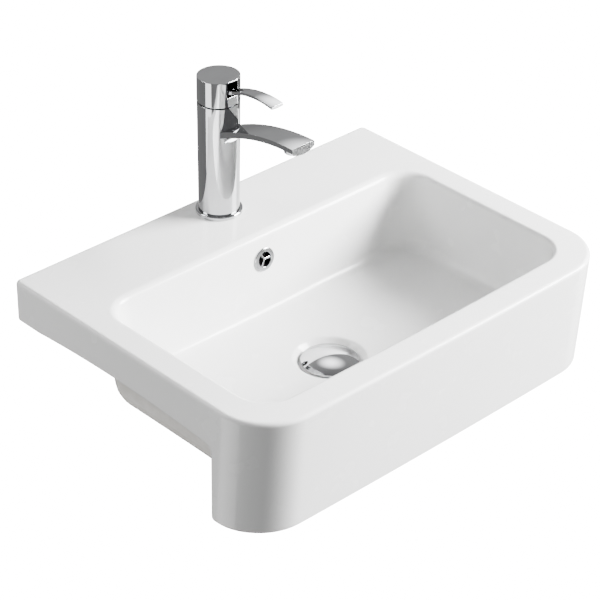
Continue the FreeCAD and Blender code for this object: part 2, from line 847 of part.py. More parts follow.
def make_tap_base():
    """The ring that the column stands on, with a gasket let into its underside."""
    height = D.ring_height
    outer = D.ring_radius
    inner = D.spigot_radius + SLIP_GAP
    rim = outer - D.ring_edge + 0.2
    base = new_body("tap_base_ring", TAP)
    revolve(base, [(inner, D.gasket_thickness), (rim, D.gasket_thickness), (rim, 0), (outer, 0),
                   (outer, height - D.ring_edge), (outer - D.ring_edge, height), (inner, height)])
    ring("tap_base_gasket", TAP, D.spigot_radius + 0.3, rim - 0.1, 0, D.gasket_thickness)


def make_fixing():
    """The stud, the horseshoe washer and plate, and the nut that clamp the tap to the deck."""
    under = -D.deck_thickness
    y = D.stud_offset
    stud = new_body("fixing_stud", TAP)
    stud_bottom = under - D.stud_below_deck
    stud_length = D.foot_bore_height + D.stud_grip - stud_bottom
    post(stud, 0, y, D.stud_radius - THREAD_GAP, stud_bottom, stud_length, "rod")
    fillet(stud, stud.Tip, edges_where(stud.Tip, level_edge(stud_bottom.value)), 0.8, kind="Chamfer")
    thick = D.clamp_thickness
    for name, top in (("fixing_rubber", under), ("fixing_clamp", under - thick)):
        plate = new_body(name, TAP)
        post(plate, 0, 0, D.clamp_radius, top - thick, thick, "disc")
        gap = new_sketch(plate, "XY_Plane", "gap", top)
        mouth = D.clamp_gap
        front = -D.clamp_radius - 8
        throat = D.clamp_throat
        outline(gap, [(-mouth, front), (mouth, front), (mouth, D.clamp_gap_end), (throat, D.clamp_throat_end),
                      (-throat, D.clamp_throat_end), (-mouth, D.clamp_gap_end)])
        pocket(plate, gap, thick)
        hole(plate, 0, y, D.stud_radius + PUSH_GAP, top, thick, "stud_hole")
    nut = new_body("fixing_nut", TAP)
    nut_top = under - thick * 2
    hexagon = new_sketch(nut, "XY_Plane", "hexagon", nut_top)
    outline(hexagon, hexagon_corners(D.fixing_nut_flat.value / math.cos(math.pi / 6), 0, y))
    pad(nut, hexagon, D.fixing_nut_length, reverse=True)
    hole(nut, 0, y, D.stud_radius, nut_top, D.fixing_nut_length, "thread")


make_column(make_spout())
make_aerator()
make_tap_base()
make_fixing()


# ---------------------------------------------------------------- tap: cartridge

def make_cartridge():
    """A ceramic disc cartridge: a housing with two lapped discs, a rotor and a rocking stem."""
    base = D.chamber_floor + D.seal_thickness
    top = D.chamber_floor + D.cartridge_height
    cavity = base + D.cartridge_floor
    roof = top - D.cartridge_roof
    slider = cavity + D.fixed_disc_thickness + SLIP_GAP
    slider_top = slider + D.moving_disc_thickness
    bore = D.housing_bore
    neck = D.rotor_neck + 0.4
    housing = new_body("cartridge_housing", TAP)
    revolve(housing, [(0, base), (D.housing_radius, base), (D.housing_radius, top), (neck, top),
                      (neck, roof), (bore, roof), (bore, cavity), (0, cavity)])
    fixed = new_body("cartridge_fixed_disc", TAP)
    post(fixed, 0, 0, bore - 0.1, cavity, D.fixed_disc_thickness, "disc")
    for name, x, y in ports():
        hole(housing, x, y, D.waterway, cavity, D.cartridge_floor, name)
        hole(fixed, x, y, D.waterway, cavity + D.fixed_disc_thickness, D.fixed_disc_thickness, name)
    seals = new_body("cartridge_seals", TAP)
    for name, x, y in ports():
        sketch = new_sketch(seals, "XY_Plane", name, D.chamber_floor)
        circle(sketch, x, y, D.waterway + D.seal_width)
        circle(sketch, x, y, D.waterway)
        pad(seals, sketch, D.seal_thickness)
    moving = new_body("cartridge_moving_disc", TAP)
    post(moving, 0, 0, D.disc_radius, slider, D.moving_disc_thickness, "disc")
    mouth = new_sketch(moving, "XY_Plane", "mouth", slider_top)
    outline(mouth, rectangle(D.mouth_half_width, -D.mouth_half_length, D.mouth_half_length))
    pocket(moving, mouth, D.mouth_depth)
    ring("cartridge_nut", TAP, D.rotor_neck + 0.5, D.chamber_radius - SLIP_GAP, top, top + D.nut_height)
    make_rotor(slider_top + 1, roof - 0.3)
    make_stem(slider_top - D.mouth_depth + 0.6, slider_top + 0.6)


def cross_hole(body, name, radius, width):
    """A hole through a body along X, on the lever's pivot line."""
    sketch = new_sketch(body, "YZ_Plane", name)
    circle(sketch, 0, D.pivot_height, radius)
    pocket(body, sketch, width, midplane=True)


def make_rotor(flange, flange_top):
    """The rotor that turns with the handle, with a window for the stem and the pin across it."""
    rotor = new_body("cartridge_rotor", TAP)
    neck = D.rotor_neck
    revolve(rotor, [(0, flange), (D.rotor_flange, flange), (D.rotor_flange, flange_top), (neck, flange_top),
                    (neck, D.rotor_top), (0, D.rotor_top)])
    window = new_sketch(rotor, "XY_Plane", "window", D.rotor_top)
    outline(window, rectangle(D.stem_radius + 0.4, -D.window_half_length, D.window_half_length))
    pocket(rotor, window, D.rotor_top - flange)
    cross_hole(rotor, "pin_hole", D.pin_radius, 30)
    pin = new_body("stem_pin", TAP)
    pin_round = new_sketch(pin, "YZ_Plane", "round")
    circle(pin_round, 0, D.pivot_height, D.pin_radius)
    pad(pin, pin_round, D.pin_length, midplane=True)


def make_stem(foot, waist):
    """The stem that rocks on the pin: its foot moves the disc and its head carries the lever."""
    stem = new_body("cartridge_stem", TAP)
    radius = D.stem_radius
    narrow = radius - 1
    revolve(stem, [(0, foot), (narrow - 1, foot), (narrow, foot + 1), (narrow, waist), (radius, waist + 2.4),
                   (radius, D.stem_top), (0, D.stem_top)])
    cross_hole(stem, "eye", D.pin_radius + SLIP_GAP, 20)


make_cartridge()


# ---------------------------------------------------------------- tap: handle

def make_handle_cap():
    """The cap over the cartridge: almost level top, front facet and a slot for the lever."""
    body = new_body("handle_cap", TAP)
    r = D.cap_radius
    bore = D.cap_bore
    bottom = D.cap_bottom
    slope = math.tan(math.radians(D.cap_slant.value))
    lean = r * slope
    ceiling = D.cap_top - lean - D.cap_roof
    above_top = D.cap_top + 9
    revolve(body, [(bore, bottom), (r - D.small_edge, bottom), (r, bottom + D.small_edge), (r, above_top),
                   (0, above_top), (0, ceiling), (bore, ceiling)])
    slant = new_sketch(body, "YZ_Plane", "slant")
    side = r + 1
    outline(slant, [(side, D.cap_top - lean - slope), (side, above_top + 1), (-side, above_top + 1),
                    (-side, D.cap_top + lean + slope)])
    pocket(body, slant, D.cap_radius * 2 + 2, midplane=True)
    facet = new_sketch(body, "YZ_Plane", "facet")
    face = r - D.cap_facet_depth
    outside = r + 7
    outline(facet, [(-outside, bottom - 1), (-face, bottom - 1), (-face, above_top), (-outside, above_top)])
    pocket(body, facet, D.cap_radius * 2, midplane=True)
    slot = new_sketch(body, "YZ_Plane", "slot")
    slot_end = D.slot_end
    outline(slot, [(-outside, D.slot_bottom), (-slot_end, D.slot_bottom), (-slot_end, D.slot_top - 4),
                   (-r - 0.5, D.slot_top), (-outside, D.slot_top)])
    pocket(body, slot, D.slot_half_width * 2, midplane=True)
    plate = new_sketch(body, "XY_Plane", "plate", D.plate_bottom)
    circle(plate, 0, 0, bore + 0.5)
    circle(plate, 0, 0, D.rotor_neck)
    pad(body, plate, D.plate_thickness)


def make_lever():
    """The lever: a thin arched blade on a hub that a grub screw holds on the stem."""
    radius = D.lever_arc
    side = D.lever_tip_half_width + 1
    low = radius - D.lever_thickness
    high = radius - D.lever_crown
    section = [(-side, low, D.lever_belly), (side, low), (side, high, D.lever_round), (-side, high)]
    reach = D.lever_reach
    tip = D.lever_tip_half_width
    root = D.lever_root_half_width
    hub_front = -11
    plan = [(-tip, -reach), (tip, -reach), (root, -20), (root, hub_front), (-root, hub_front), (-root, -20)]
    crest = D.lever_crest - radius
    blade = arc_blade("lever", D.lever_crest_reach, crest, section, D.lever_sweep_front,
                      D.lever_sweep_back, plan)
    hub = new_body("lever_hub", TAP, kept=False)
    bottom = D.hub_bottom
    revolve(hub, [(0, bottom), (D.hub_radius, bottom), (D.hub_radius, D.hub_top), (0, D.hub_top)])
    neck = new_sketch(hub, "XY_Plane", "neck", bottom)
    outline(neck, rectangle(D.hub_neck, -15, -3))
    pad(hub, neck, 3)
    socket = new_body("lever_socket", TAP, kept=False)
    post(socket, 0, 0, D.stem_radius, D.rotor_top - 4, D.stem_top - D.rotor_top + 4, "round")
    screw_hole = new_body("lever_screw_hole", TAP, kept=False)
    tapped = new_sketch(screw_hole, "XZ_Plane", "tapped")
    circle(tapped, 0, D.screw_level, D.screw_radius)
    pad(screw_hole, tapped, D.hub_radius + 4, reverse=True)
    solid = fuse("lever_solid", blade, hub)
    boolean("Cut", "lever", solid, fuse("lever_holes", socket, screw_hole), kept=True)
    screw = new_body("lever_grub_screw", TAP)
    shank = new_sketch(screw, "XZ_Plane", "shank", -D.stem_radius)
    circle(shank, 0, D.screw_level, D.screw_radius - THREAD_GAP)
    pad(screw, shank, D.screw_length, reverse=True)
    key = new_sketch(screw, "XZ_Plane", "key", -(D.stem_radius + D.screw_length))
    outline(key, hexagon_corners(1, 0, D.screw_level))
    pocket(screw, key, D.screw_length * 0.5, reverse=True)


make_handle_cap()
make_lever()


# ---------------------------------------------------------------- waste

def make_waste():
    """The waste's slotted body, with its seals and back nut."""
    tail = D.tail_radius
    bore = D.tail_bore
    upper = D.body_radius
    flange = D.flange_radius
    lip = D.flange_top
    boss = D.boss_bottom
    shoulder = boss - 16
    body = new_body("waste_body", WASTE)
    revolve(body, [(bore, D.tail_end), (tail, D.tail_end), (tail, shoulder), (upper, shoulder),
                   (upper, D.flange_bottom), (flange, D.flange_bottom), (flange, lip - 0.6),
                   (flange - 0.8, lip), (bore + 3, lip), (bore, lip - 2)])
    slot = new_sketch(body, "YZ_Plane", "overflow_slot")
    low = D.passage_floor + 0.5
    high = D.passage_roof - 0.5
    outline(slot, rectangle(D.waste_slot_half_width, low, high))
    opening = pocket(body, slot, 30)
    spread(body, opening, "Z_Axis", 4)
    ring("waste_upper_seal", WASTE, upper, flange - 1, D.recess_floor, D.flange_bottom)
    collar = D.nut_collar_radius
    seal_bottom = boss - D.lower_seal_thickness
    ring("waste_lower_seal", WASTE, upper, collar, seal_bottom, boss)
    nut = new_body("waste_back_nut", WASTE)
    nut_radius = collar - 3
    nut_bottom = seal_bottom - D.back_nut_height
    collar_bottom = seal_bottom - 2
    revolve(nut, [(upper, nut_bottom), (nut_radius, nut_bottom), (nut_radius, collar_bottom),
                  (collar, collar_bottom), (collar, seal_bottom), (upper, seal_bottom)])
    notch = new_sketch(nut, "XY_Plane", "notch", collar_bottom)
    outline(notch, [(nut_radius - 2.5, -4), (collar + 1, -4), (collar + 1, 4), (nut_radius - 2.5, 4)])
    cut = pocket(nut, notch, D.back_nut_height - 2)
    spread(nut, cut, "Z_Axis", 6)


def make_carrier():
    """The carrier: a sleeve for the spindle, held in the tail by three arms and a rim."""
    bore = D.tail_bore
    outer = D.carrier_radius
    inner = outer - 1.8
    guide = D.spindle_radius + 0.1
    low = D.carrier_bottom
    floor = D.carrier_floor
    carrier = new_body("click_carrier", WASTE)
    revolve(carrier, [(guide, low), (outer, low), (outer, D.carrier_top), (inner, D.carrier_top),
                      (inner, floor), (guide, floor)])
    arm = new_sketch(carrier, "XY_Plane", "arm", D.arm_top)
    start = outer - 0.8
    end = bore - 1
    outline(arm, [(start, -1.2), (end, -1.2), (end, 1.2), (start, 1.2)])
    spoke = pad(carrier, arm, D.arm_height, reverse=True)
    spread(carrier, spoke, "Z_Axis", 3)
    rim = new_sketch(carrier, "XY_Plane", "rim", D.arm_top)
    circle(rim, 0, 0, bore)
    circle(rim, 0, 0, bore - 1.5)
    pad(carrier, rim, D.arm_height, reverse=True)


def make_plug():
    """The plug that rides on the spindle: the spindle, the seal and the domed cap."""
    radius = D.spindle_radius
    collar = D.spindle_collar
    under_cap = D.plug_underside
    low = D.carrier_bottom - 5
    spindle = new_body("plug_spindle", WASTE)
    revolve(spindle, [(0, low), (radius - 1, low), (radius, low + 1), (radius, collar),
                      (radius + 2.8, collar), (radius + 2.8, collar + 4), (radius + 0.5, collar + 4),
                      (radius + 0.5, under_cap), (0, under_cap)])
    ring("plug_seal", WASTE, 21.5, 25.5, under_cap - 1.4, under_cap)
    cap = new_body("plug_cap", WASTE)
    dome = D.cap_dome_radius
    crown = D.dome_crown
    sphere = (dome.value ** 2 + crown.value ** 2) / (2 * crown.value)
    skirt = dome - 3
    edge = under_cap - 0.4
    revolve(cap, [(0, under_cap), (skirt, under_cap), (skirt, edge - 1.6), (dome - 0.8, edge - 1.6),
                  (dome, edge - 0.8), (dome, edge, sphere), (0, edge + crown)])


def make_spring():
    """A compression spring of round wire, from the carrier's floor to the spindle's collar."""
    wire = 0.5
    radius = 5.6
    turns = 6
    low = D.carrier_floor.value + wire
    height = D.spindle_collar.value - wire - low
    helix = Part.makeHelix(height / turns, height, radius)
    rise_per_radius = 0.16
    section = Part.Wire(Part.makeCircle(wire, Vector(radius, 0, 0), Vector(0, 1, rise_per_radius)))
    spring = document.addObject("Part::Feature", "plug_spring")
    spring.Shape = Part.Wire(helix).makePipeShell([section], True, True)
    spring.Label = "plug_spring"
    spring.Placement = FreeCAD.Placement(Vector(0, D.waste_centre.value, low), FreeCAD.Rotation())
    NODES.append(spring)


make_waste()
make_carrier()
make_plug()
make_spring()


# ---------------------------------------------------------------- check and write

def check():
    document.recompute()
    for thing in document.Objects:
        if "Invalid" in thing.State or "Error" in thing.State:
            raise RuntimeError(f"{thing.Name} failed: {thing.State}")
    for node in NODES:
        if node.Shape.isNull() or not node.Shape.isValid():
            raise RuntimeError(f"{node.Label} has no valid shape")


def write_steps():
    os.makedirs("parts", exist_ok=True)
    for node in NODES:
        node.Shape.exportStep(f"parts/{node.Label}.step")
        box = node.Shape.BoundBox
        print(f"{node.Label:24s} solids {len(node.Shape.Solids)} volume {node.Shape.Volume / 1000:9.2f} cm3  "
              f"x {box.XMin:7.1f} {box.XMax:7.1f}  y {box.YMin:7.1f} {box.YMax:7.1f}  "
              f"z {box.ZMin:7.1f} {box.ZMax:7.1f}")


check()
write_steps()
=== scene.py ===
"""Looks for the semi-recessed wash basin: glazed basin, chrome mixer tap, overflow trim and push waste."""
import json
import math

import bmesh
import bpy
from mathutils import Matrix, Vector


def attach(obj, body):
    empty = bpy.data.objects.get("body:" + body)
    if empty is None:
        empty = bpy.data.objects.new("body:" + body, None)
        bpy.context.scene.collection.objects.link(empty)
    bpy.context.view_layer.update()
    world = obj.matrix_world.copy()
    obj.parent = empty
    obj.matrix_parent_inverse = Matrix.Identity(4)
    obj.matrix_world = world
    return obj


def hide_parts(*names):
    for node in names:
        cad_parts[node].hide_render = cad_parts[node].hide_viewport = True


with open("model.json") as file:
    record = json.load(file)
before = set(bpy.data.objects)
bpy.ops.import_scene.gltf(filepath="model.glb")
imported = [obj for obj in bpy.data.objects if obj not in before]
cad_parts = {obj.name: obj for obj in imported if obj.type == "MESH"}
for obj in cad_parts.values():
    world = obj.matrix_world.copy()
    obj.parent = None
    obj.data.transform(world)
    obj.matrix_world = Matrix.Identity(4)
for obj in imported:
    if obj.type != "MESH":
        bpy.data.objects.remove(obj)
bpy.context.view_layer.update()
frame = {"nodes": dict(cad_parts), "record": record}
MM = 0.001


# ---------------------------------------------------------------- camera

CAMERA_PLACE = (-1.4423, -1.6592, 1.3175)
CAMERA_ANGLES = (43.92, 32.52, 0.95)
LENS = 135.28
SENSOR = 36


def make_camera():
    """The photograph's view: degrees to the right of +Y, degrees down, and degrees of roll."""
    azimuth, elevation, roll = (math.radians(a) for a in CAMERA_ANGLES)
    forward = Vector((math.sin(azimuth) * math.cos(elevation), math.cos(azimuth) * math.cos(elevation),
                      -math.sin(elevation)))
    level = Vector((math.cos(azimuth), -math.sin(azimuth), 0))
    upright = level.cross(forward)
    right = level * math.cos(roll) + upright * math.sin(roll)
    up = right.cross(forward)
    turn = Matrix((right, up, -forward)).transposed().to_4x4()
    data = bpy.data.cameras.new("camera")
    data.sensor_width = SENSOR
    data.lens = LENS
    camera = bpy.data.objects.new("camera", data)
    bpy.context.scene.collection.objects.link(camera)
    camera.matrix_world = Matrix.Translation(CAMERA_PLACE) @ turn
    bpy.context.scene.camera = camera


make_camera()


# ---------------------------------------------------------------- materials

COLOUR_DETAIL = 3
FINE_DETAIL = 2
ROUGHNESS_SCALE = 3
NOISE_MIDDLE = (0.35, 0.65)


def noise_node(tree, scale, detail, stretch=(1, 1, 1)):
    """Noise in the object's own metres."""
    place = tree.nodes.new("ShaderNodeTexCoord")
    mapping = tree.nodes.new("ShaderNodeMapping")
    mapping.inputs["Scale"].default_value = stretch
    tree.links.new(place.outputs["Object"], mapping.inputs["Vector"])
    noise = tree.nodes.new("ShaderNodeTexNoise")
    noise.inputs["Scale"].default_value = scale
    noise.inputs["Detail"].default_value = detail
    tree.links.new(mapping.outputs["Vector"], noise.inputs["Vector"])
    return noise.outputs["Fac"]


def ranged(tree, value, low, high):
    """Maps the middle of the noise's range to low and high."""
    node = tree.nodes.new("ShaderNodeMapRange")
    node.inputs["From Min"].default_value = NOISE_MIDDLE[0]
    node.inputs["From Max"].default_value = NOISE_MIDDLE[1]
    node.inputs["To Min"].default_value = low
    node.inputs["To Max"].default_value = high
    tree.links.new(value, node.inputs["Value"])
    return node.outputs["Result"]


def finish_material(name, dark, light, scale, rough, bump=(0, 0), stretch=(1, 1, 1), **fixed):
    """A Principled material whose colour, roughness and relief vary with noise.

    rough is (low, high); bump is (noise scale, height in metres); fixed sets other sockets by name.
    """
    material = bpy.data.materials.new(name)
    material.use_nodes = True
    tree = material.node_tree
    shader = tree.nodes["Principled BSDF"]
    for socket, value in fixed.items():
        shader.inputs[socket.replace("_", " ")].default_value = value
    cloud = noise_node(tree, scale, COLOUR_DETAIL, stretch)
    mix = tree.nodes.new("ShaderNodeMix")
    mix.data_type = "RGBA"
    mix.inputs["A"].default_value = (*dark, 1)
    mix.inputs["B"].default_value = (*light, 1)
    tree.links.new(ranged(tree, cloud, 0, 1), mix.inputs["Factor"])
    tree.links.new(mix.outputs["Result"], shader.inputs["Base Color"])
    fine = noise_node(tree, scale * ROUGHNESS_SCALE, FINE_DETAIL, stretch)
    tree.links.new(ranged(tree, fine, *rough), shader.inputs["Roughness"])
    if bump[1]:
        node = tree.nodes.new("ShaderNodeBump")
        node.inputs["Strength"].default_value = 1
        node.inputs["Distance"].default_value = bump[1]
        tree.links.new(noise_node(tree, bump[0], FINE_DETAIL, stretch), node.inputs["Height"])
        tree.links.new(node.outputs["Normal"], shader.inputs["Normal"])
    return material


GLAZE = finish_material("white_glaze", (0.855, 0.855, 0.85), (0.88, 0.88, 0.875), 9, (0.2, 0.28),
                        bump=(22, 0.00004), Specular_IOR_Level=0.3, Coat_Weight=0.25, Coat_Roughness=0.03)
BISQUE = finish_material("unglazed_ceramic", (0.72, 0.70, 0.66), (0.82, 0.80, 0.77), 40, (0.7, 0.9),
                         bump=(900, 0.00008))
# Near-black painted shade for the walls of the overflow hole and passage, standing in for the darkness deep
# inside them.
PASSAGE_PAINTED_SHADE = finish_material("passage_painted_shade", (0.010, 0.010, 0.010), (0.03, 0.03, 0.028), 60, (0.6, 0.8))
CHROME = finish_material("chrome_plate", (0.45, 0.455, 0.465), (0.49, 0.495, 0.505), 30, (0.03, 0.055),
                         Metallic=1)
RUBBER = finish_material("black_rubber", (0.012, 0.012, 0.013), (0.03, 0.03, 0.03), 120, (0.6, 0.8),
                         bump=(1500, 0.00003))
BRASS = finish_material("plain_brass", (0.60, 0.43, 0.17), (0.74, 0.57, 0.28), 90, (0.22, 0.38),
                        stretch=(1, 1, 8), Metallic=1)
ZINC = finish_material("zinc_steel", (0.50, 0.51, 0.52), (0.66, 0.67, 0.66), 150, (0.3, 0.5), Metallic=1)
SPRING = finish_material("spring_steel", (0.50, 0.50, 0.50), (0.62, 0.62, 0.62), 200, (0.2, 0.35),
                         Metallic=1)
GREY_PLASTIC = finish_material("grey_plastic", (0.15, 0.16, 0.18), (0.20, 0.21, 0.235), 80, (0.4, 0.55),
                               bump=(1200, 0.00002))
WHITE_PLASTIC = finish_material("white_plastic", (0.68, 0.68, 0.65), (0.76, 0.76, 0.74), 80, (0.35, 0.5),
                                bump=(1200, 0.00002))
CERAMIC = finish_material("disc_ceramic", (0.80, 0.78, 0.72), (0.88, 0.87, 0.82), 70, (0.18, 0.3))
BY_SLOT = {"white_glaze": GLAZE, "chrome_plate": CHROME, "black_rubber": RUBBER, "plain_brass": BRASS,
           "zinc_steel": ZINC, "spring_steel": SPRING, "grey_plastic": GREY_PLASTIC,
           "white_plastic": WHITE_PLASTIC, "disc_ceramic": CERAMIC}


def finish_cad_nodes():
    """Gives every CAD node the material of its slot."""
    for part in frame["record"]["subparts"]:
        node = frame["nodes"][part["node"]]
        node.data.materials.clear()
        node.data.materials.append(BY_SLOT[part["material_slot"]])


finish_cad_nodes()


# ---------------------------------------------------------------- mesh helpers, in millimetres

MERGE = 1e-7
SHARP_ANGLE = 40
NEVER_SHARP = 179


def smoothstep(t):
    t = min(max(t, 0.0), 1.0)
    return t * t * (3 - 2 * t)


def corner_arc(corner, one, two, radius, steps):
    """Points of the arc that rounds a corner between the directions one and two."""
    corner, one, two = Vector(corner), Vector(one).normalized(), Vector(two).normalized()
    half = one.angle(two) / 2
    reach = radius / math.tan(half)
    centre = corner + (one + two).normalized() * (radius / math.sin(half))
    start = corner + one * reach - centre
    end = corner + two * reach - centre
    sweep = start.angle(end)
    points = []
    for i in range(steps + 1):
        t = i / steps
        a = math.sin((1 - t) * sweep) / math.sin(sweep)
        b = math.sin(t * sweep) / math.sin(sweep)
        points.append(centre + start * a + end * b)
    return points


def softened(profile, steps=5):
    """A closed (r, z, radius) profile with each corner that has a radius rounded off."""
    result = []
    count = len(profile)
    for i, point in enumerate(profile):
        if len(point) == 2 or not point[2]:
            result.append(point[:2])
            continue
        here = Vector((point[0], point[1], 0))
        before = Vector((*profile[i - 1][:2], 0))
        after = Vector((*profile[(i + 1) % count][:2], 0))
        result += [tuple(p[:2]) for p in corner_arc(here, before - here, after - here, point[2], steps)]
    return result


class Builder:
    """Collects the points and faces of one piece, the material of each face and the sharp edges."""

    def __init__(self):
        self.points = []
        self.faces = []
        self.slots = []
        self.sharp = []

    def ring(self, points):
        start = len(self.points)
        self.points += [tuple(p) for p in points]
        return list(range(start, start + len(points)))

    def bridge(self, one, two, slot=0, skip=()):
        """Joins two closed rings with four-sided faces, leaving out those in skip."""
        count = len(one)
        for j in range(count):
            if j in skip:
                continue
            k = (j + 1) % count
            self.faces.append((one[j], one[k], two[k], two[j]))
            self.slots.append(slot)

    def face(self, ring):
        self.faces.append(tuple(ring))
        self.slots.append(0)

    def piece(self, name, body, slot, materials, nodes=(), sharp_above=SHARP_ANGLE):
        """Makes the mesh object, rides it on a body and puts it in place of the CAD nodes."""
        mesh = bpy.data.meshes.new(name)
        mesh.from_pydata([[c * MM for c in p] for p in self.points], [], self.faces)
        for polygon, index in zip(mesh.polygons, self.slots):
            polygon.material_index = index
        work = bmesh.new()
        work.from_mesh(mesh)
        work.verts.ensure_lookup_table()
        pairs = {frozenset(pair) for pair in self.sharp}
        for edge in work.edges:
            if frozenset(v.index for v in edge.verts) in pairs:
                edge.smooth = False
        bmesh.ops.remove_doubles(work, verts=work.verts, dist=MERGE)
        bmesh.ops.dissolve_degenerate(work, edges=work.edges, dist=MERGE)
        bmesh.ops.recalc_face_normals(work, faces=work.faces)
        for edge in work.edges:
            if len(edge.link_faces) == 2 and edge.calc_face_angle(0) > math.radians(sharp_above):
                edge.smooth = False
        for polygon in work.faces:
            polygon.smooth = True
        work.to_mesh(mesh)
        work.free()
        obj = bpy.data.objects.new(name, mesh)
        bpy.context.scene.collection.objects.link(obj)
        for material in materials:
            mesh.materials.append(material)
        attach(obj, body)
        if nodes:
            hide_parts(*nodes)
        return obj


def add_bevel(obj, width, segments=3, angle=50):
    bevel = obj.modifiers.new("edges", "BEVEL")
    bevel.width = width * MM
    bevel.segments = segments
    bevel.limit_method = "ANGLE"
    bevel.angle_limit = math.radians(angle)
    bevel.miter_outer = "MITER_ARC"


def weigh_normals(obj):
    """Large faces keep their own direction, so that the small edge roundings don't tint them."""
    weighted = obj.modifiers.new("normals", "WEIGHTED_NORMAL")
    weighted.keep_sharp = True


def cut_with(obj, cutter_points, cutter_faces, slot_material=None):
    """Cuts a closed shape out of a piece for good; slot_material covers the cut."""
    mesh = bpy.data.meshes.new("cutter")
    mesh.from_pydata([[c * MM for c in p] for p in cutter_points], [], cutter_faces)
    work = bmesh.new()
    work.from_mesh(mesh)
    bmesh.ops.recalc_face_normals(work, faces=work.faces)
    for polygon in work.faces:
        polygon.smooth = True
    work.to_mesh(mesh)
    work.free()
    if slot_material is not None:
        mesh.materials.append(slot_material)
    cutter = bpy.data.objects.new("cutter", mesh)
    bpy.context.scene.collection.objects.link(cutter)
    modifier = obj.modifiers.new("cut", "BOOLEAN")
    modifier.operation = "DIFFERENCE"
    modifier.solver = "EXACT"
    modifier.material_mode = "TRANSFER"
    modifier.object = cutter
    bpy.context.view_layer.update()
    cut = bpy.data.meshes.new_from_object(obj.evaluated_get(bpy.context.evaluated_depsgraph_get()))
    obj.modifiers.remove(modifier)
    obj.data = cut
    bpy.data.objects.remove(cutter)
    cut.set_sharp_from_angle(angle=math.radians(SHARP_ANGLE))


def tube_points(centre, direction, radius, start, end, steps=48):
    """A plain closed cylinder along a direction, for cutting."""
    direction = Vector(direction).normalized()
    side = direction.orthogonal().normalized()
    other = direction.cross(side)
    points = []
    for reach in (start, end):
        for i in range(steps):
            angle = 2 * math.pi * i / steps
            points.append(Vector(centre) + direction * reach
                          + (side * math.cos(angle) + other * math.sin(angle)) * radius)
    faces = [tuple(range(steps)), tuple(range(steps, 2 * steps))]
    for i in range(steps):
        j = (i + 1) % steps
        faces.append((i, j, steps + j, steps + i))
    return points, faces


# ---------------------------------------------------------------- basin

HALF_WIDTH = 260
BACK = 6
FRONT = -384
DECK = 49
SKIRT_WALL = 12
BOWL_WALL = 11
APRON_BOTTOM = -90.4
APRON_INSET = 9
APRON_REAR = -307
APRON_TURN = 5
APRON_FILLET = 7
ARCH_RADIUS = 1566
LEDGE = 40
LOWER_EDGE = 2.5
DECK_EDGE = 4.5
FRONT_CORNER = 60
BACK_CORNER = 7
INNER_CORNER = 0.01

# Both the apron's front and the bowl's front bow forward; the bow fades in over BOW_RUN.
BOW_RUN = 45
APRON_BOW = 2.6
APRON_BOW_START = -315
BOWL_BOW = 3
BOWL_BOW_START = -290

# Half width, back and front of the bowl where the walls meet the deck and where they meet the floor.
BOWL_RIM = (224.8, -100, -348.7)
BOWL_FLOOR = (222.5, -109.6, -344)
BOWL_CORNER = 36
CREASE = -45.5
CREASE_RADIUS = 15
OUTSIDE_CREASE_RADIUS = 26
# The rim is rounded more at the back; the gain sets in over RIM_GAIN_RUN.
RIM_RADIUS = 5
RIM_RADIUS_GAIN = 4
RIM_GAIN_START = -150
RIM_GAIN_RUN = 45

WASTE = (0, -210)
WASTE_LIP = -59
LIP_RADIUS = 44
BANK_WIDTH = 10.5
BANK_STEPS = 10
# (radius, height) pairs: the waste hole and the recess about it, then the boss under them.
RECESS = ((23, -87), (23, -68.2), (23.4, -67.3), (24.5, -67), (32.5, -67))
BOSS_TOP_RADIUS = 52.5
BOSS = ((50, -70.3), (44, -72), (41.5, -74.5), (41, -77), (41, -86.5), (39.5, -88), (24, -88))

TAP = (0, -29, DECK)
TAP_HOLE_RADIUS = 17.5
TAP_HOLE_SPAN = (20, 60)
OVERFLOW = (0, -103.2, 18)
OVERFLOW_RADIUS = 11.2
OVERFLOW_SPAN = (-24, 12)
OVERFLOW_TILT = math.radians(5.8)
OVERFLOW_OUT = Vector((0, -math.cos(OVERFLOW_TILT), math.sin(OVERFLOW_TILT)))

# How finely the basin's plan is divided, with the parts of its side from front to back.
FRONT_STEPS = 24
CORNER_STEPS = 14
BACK_CORNER_STEPS = 10
FOOT_STEPS = 3
TURN_STEPS = 5
REAR_STEPS = 8
FILLET_STEPS = 7
ARCH_STEPS = 16
LEDGE_STEPS = 5
REAR_END = FOOT_STEPS + TURN_STEPS + REAR_STEPS - 1
FILLET_END = REAR_END + FILLET_STEPS

# How finely its surface is divided from ring to ring.
FLOOR_ROWS = 16
CREASE_STEPS = 9
WALL_ROWS = 10
RIM_STEPS = 8
DECK_EDGE_STEPS = 6
LOWER_EDGE_STEPS = 5
OUTSIDE_CREASE_STEPS = 5
OUTSIDE_ROWS = 6

# The first two of the basin's materials, in order.
GLAZED = 0
BARE = 1


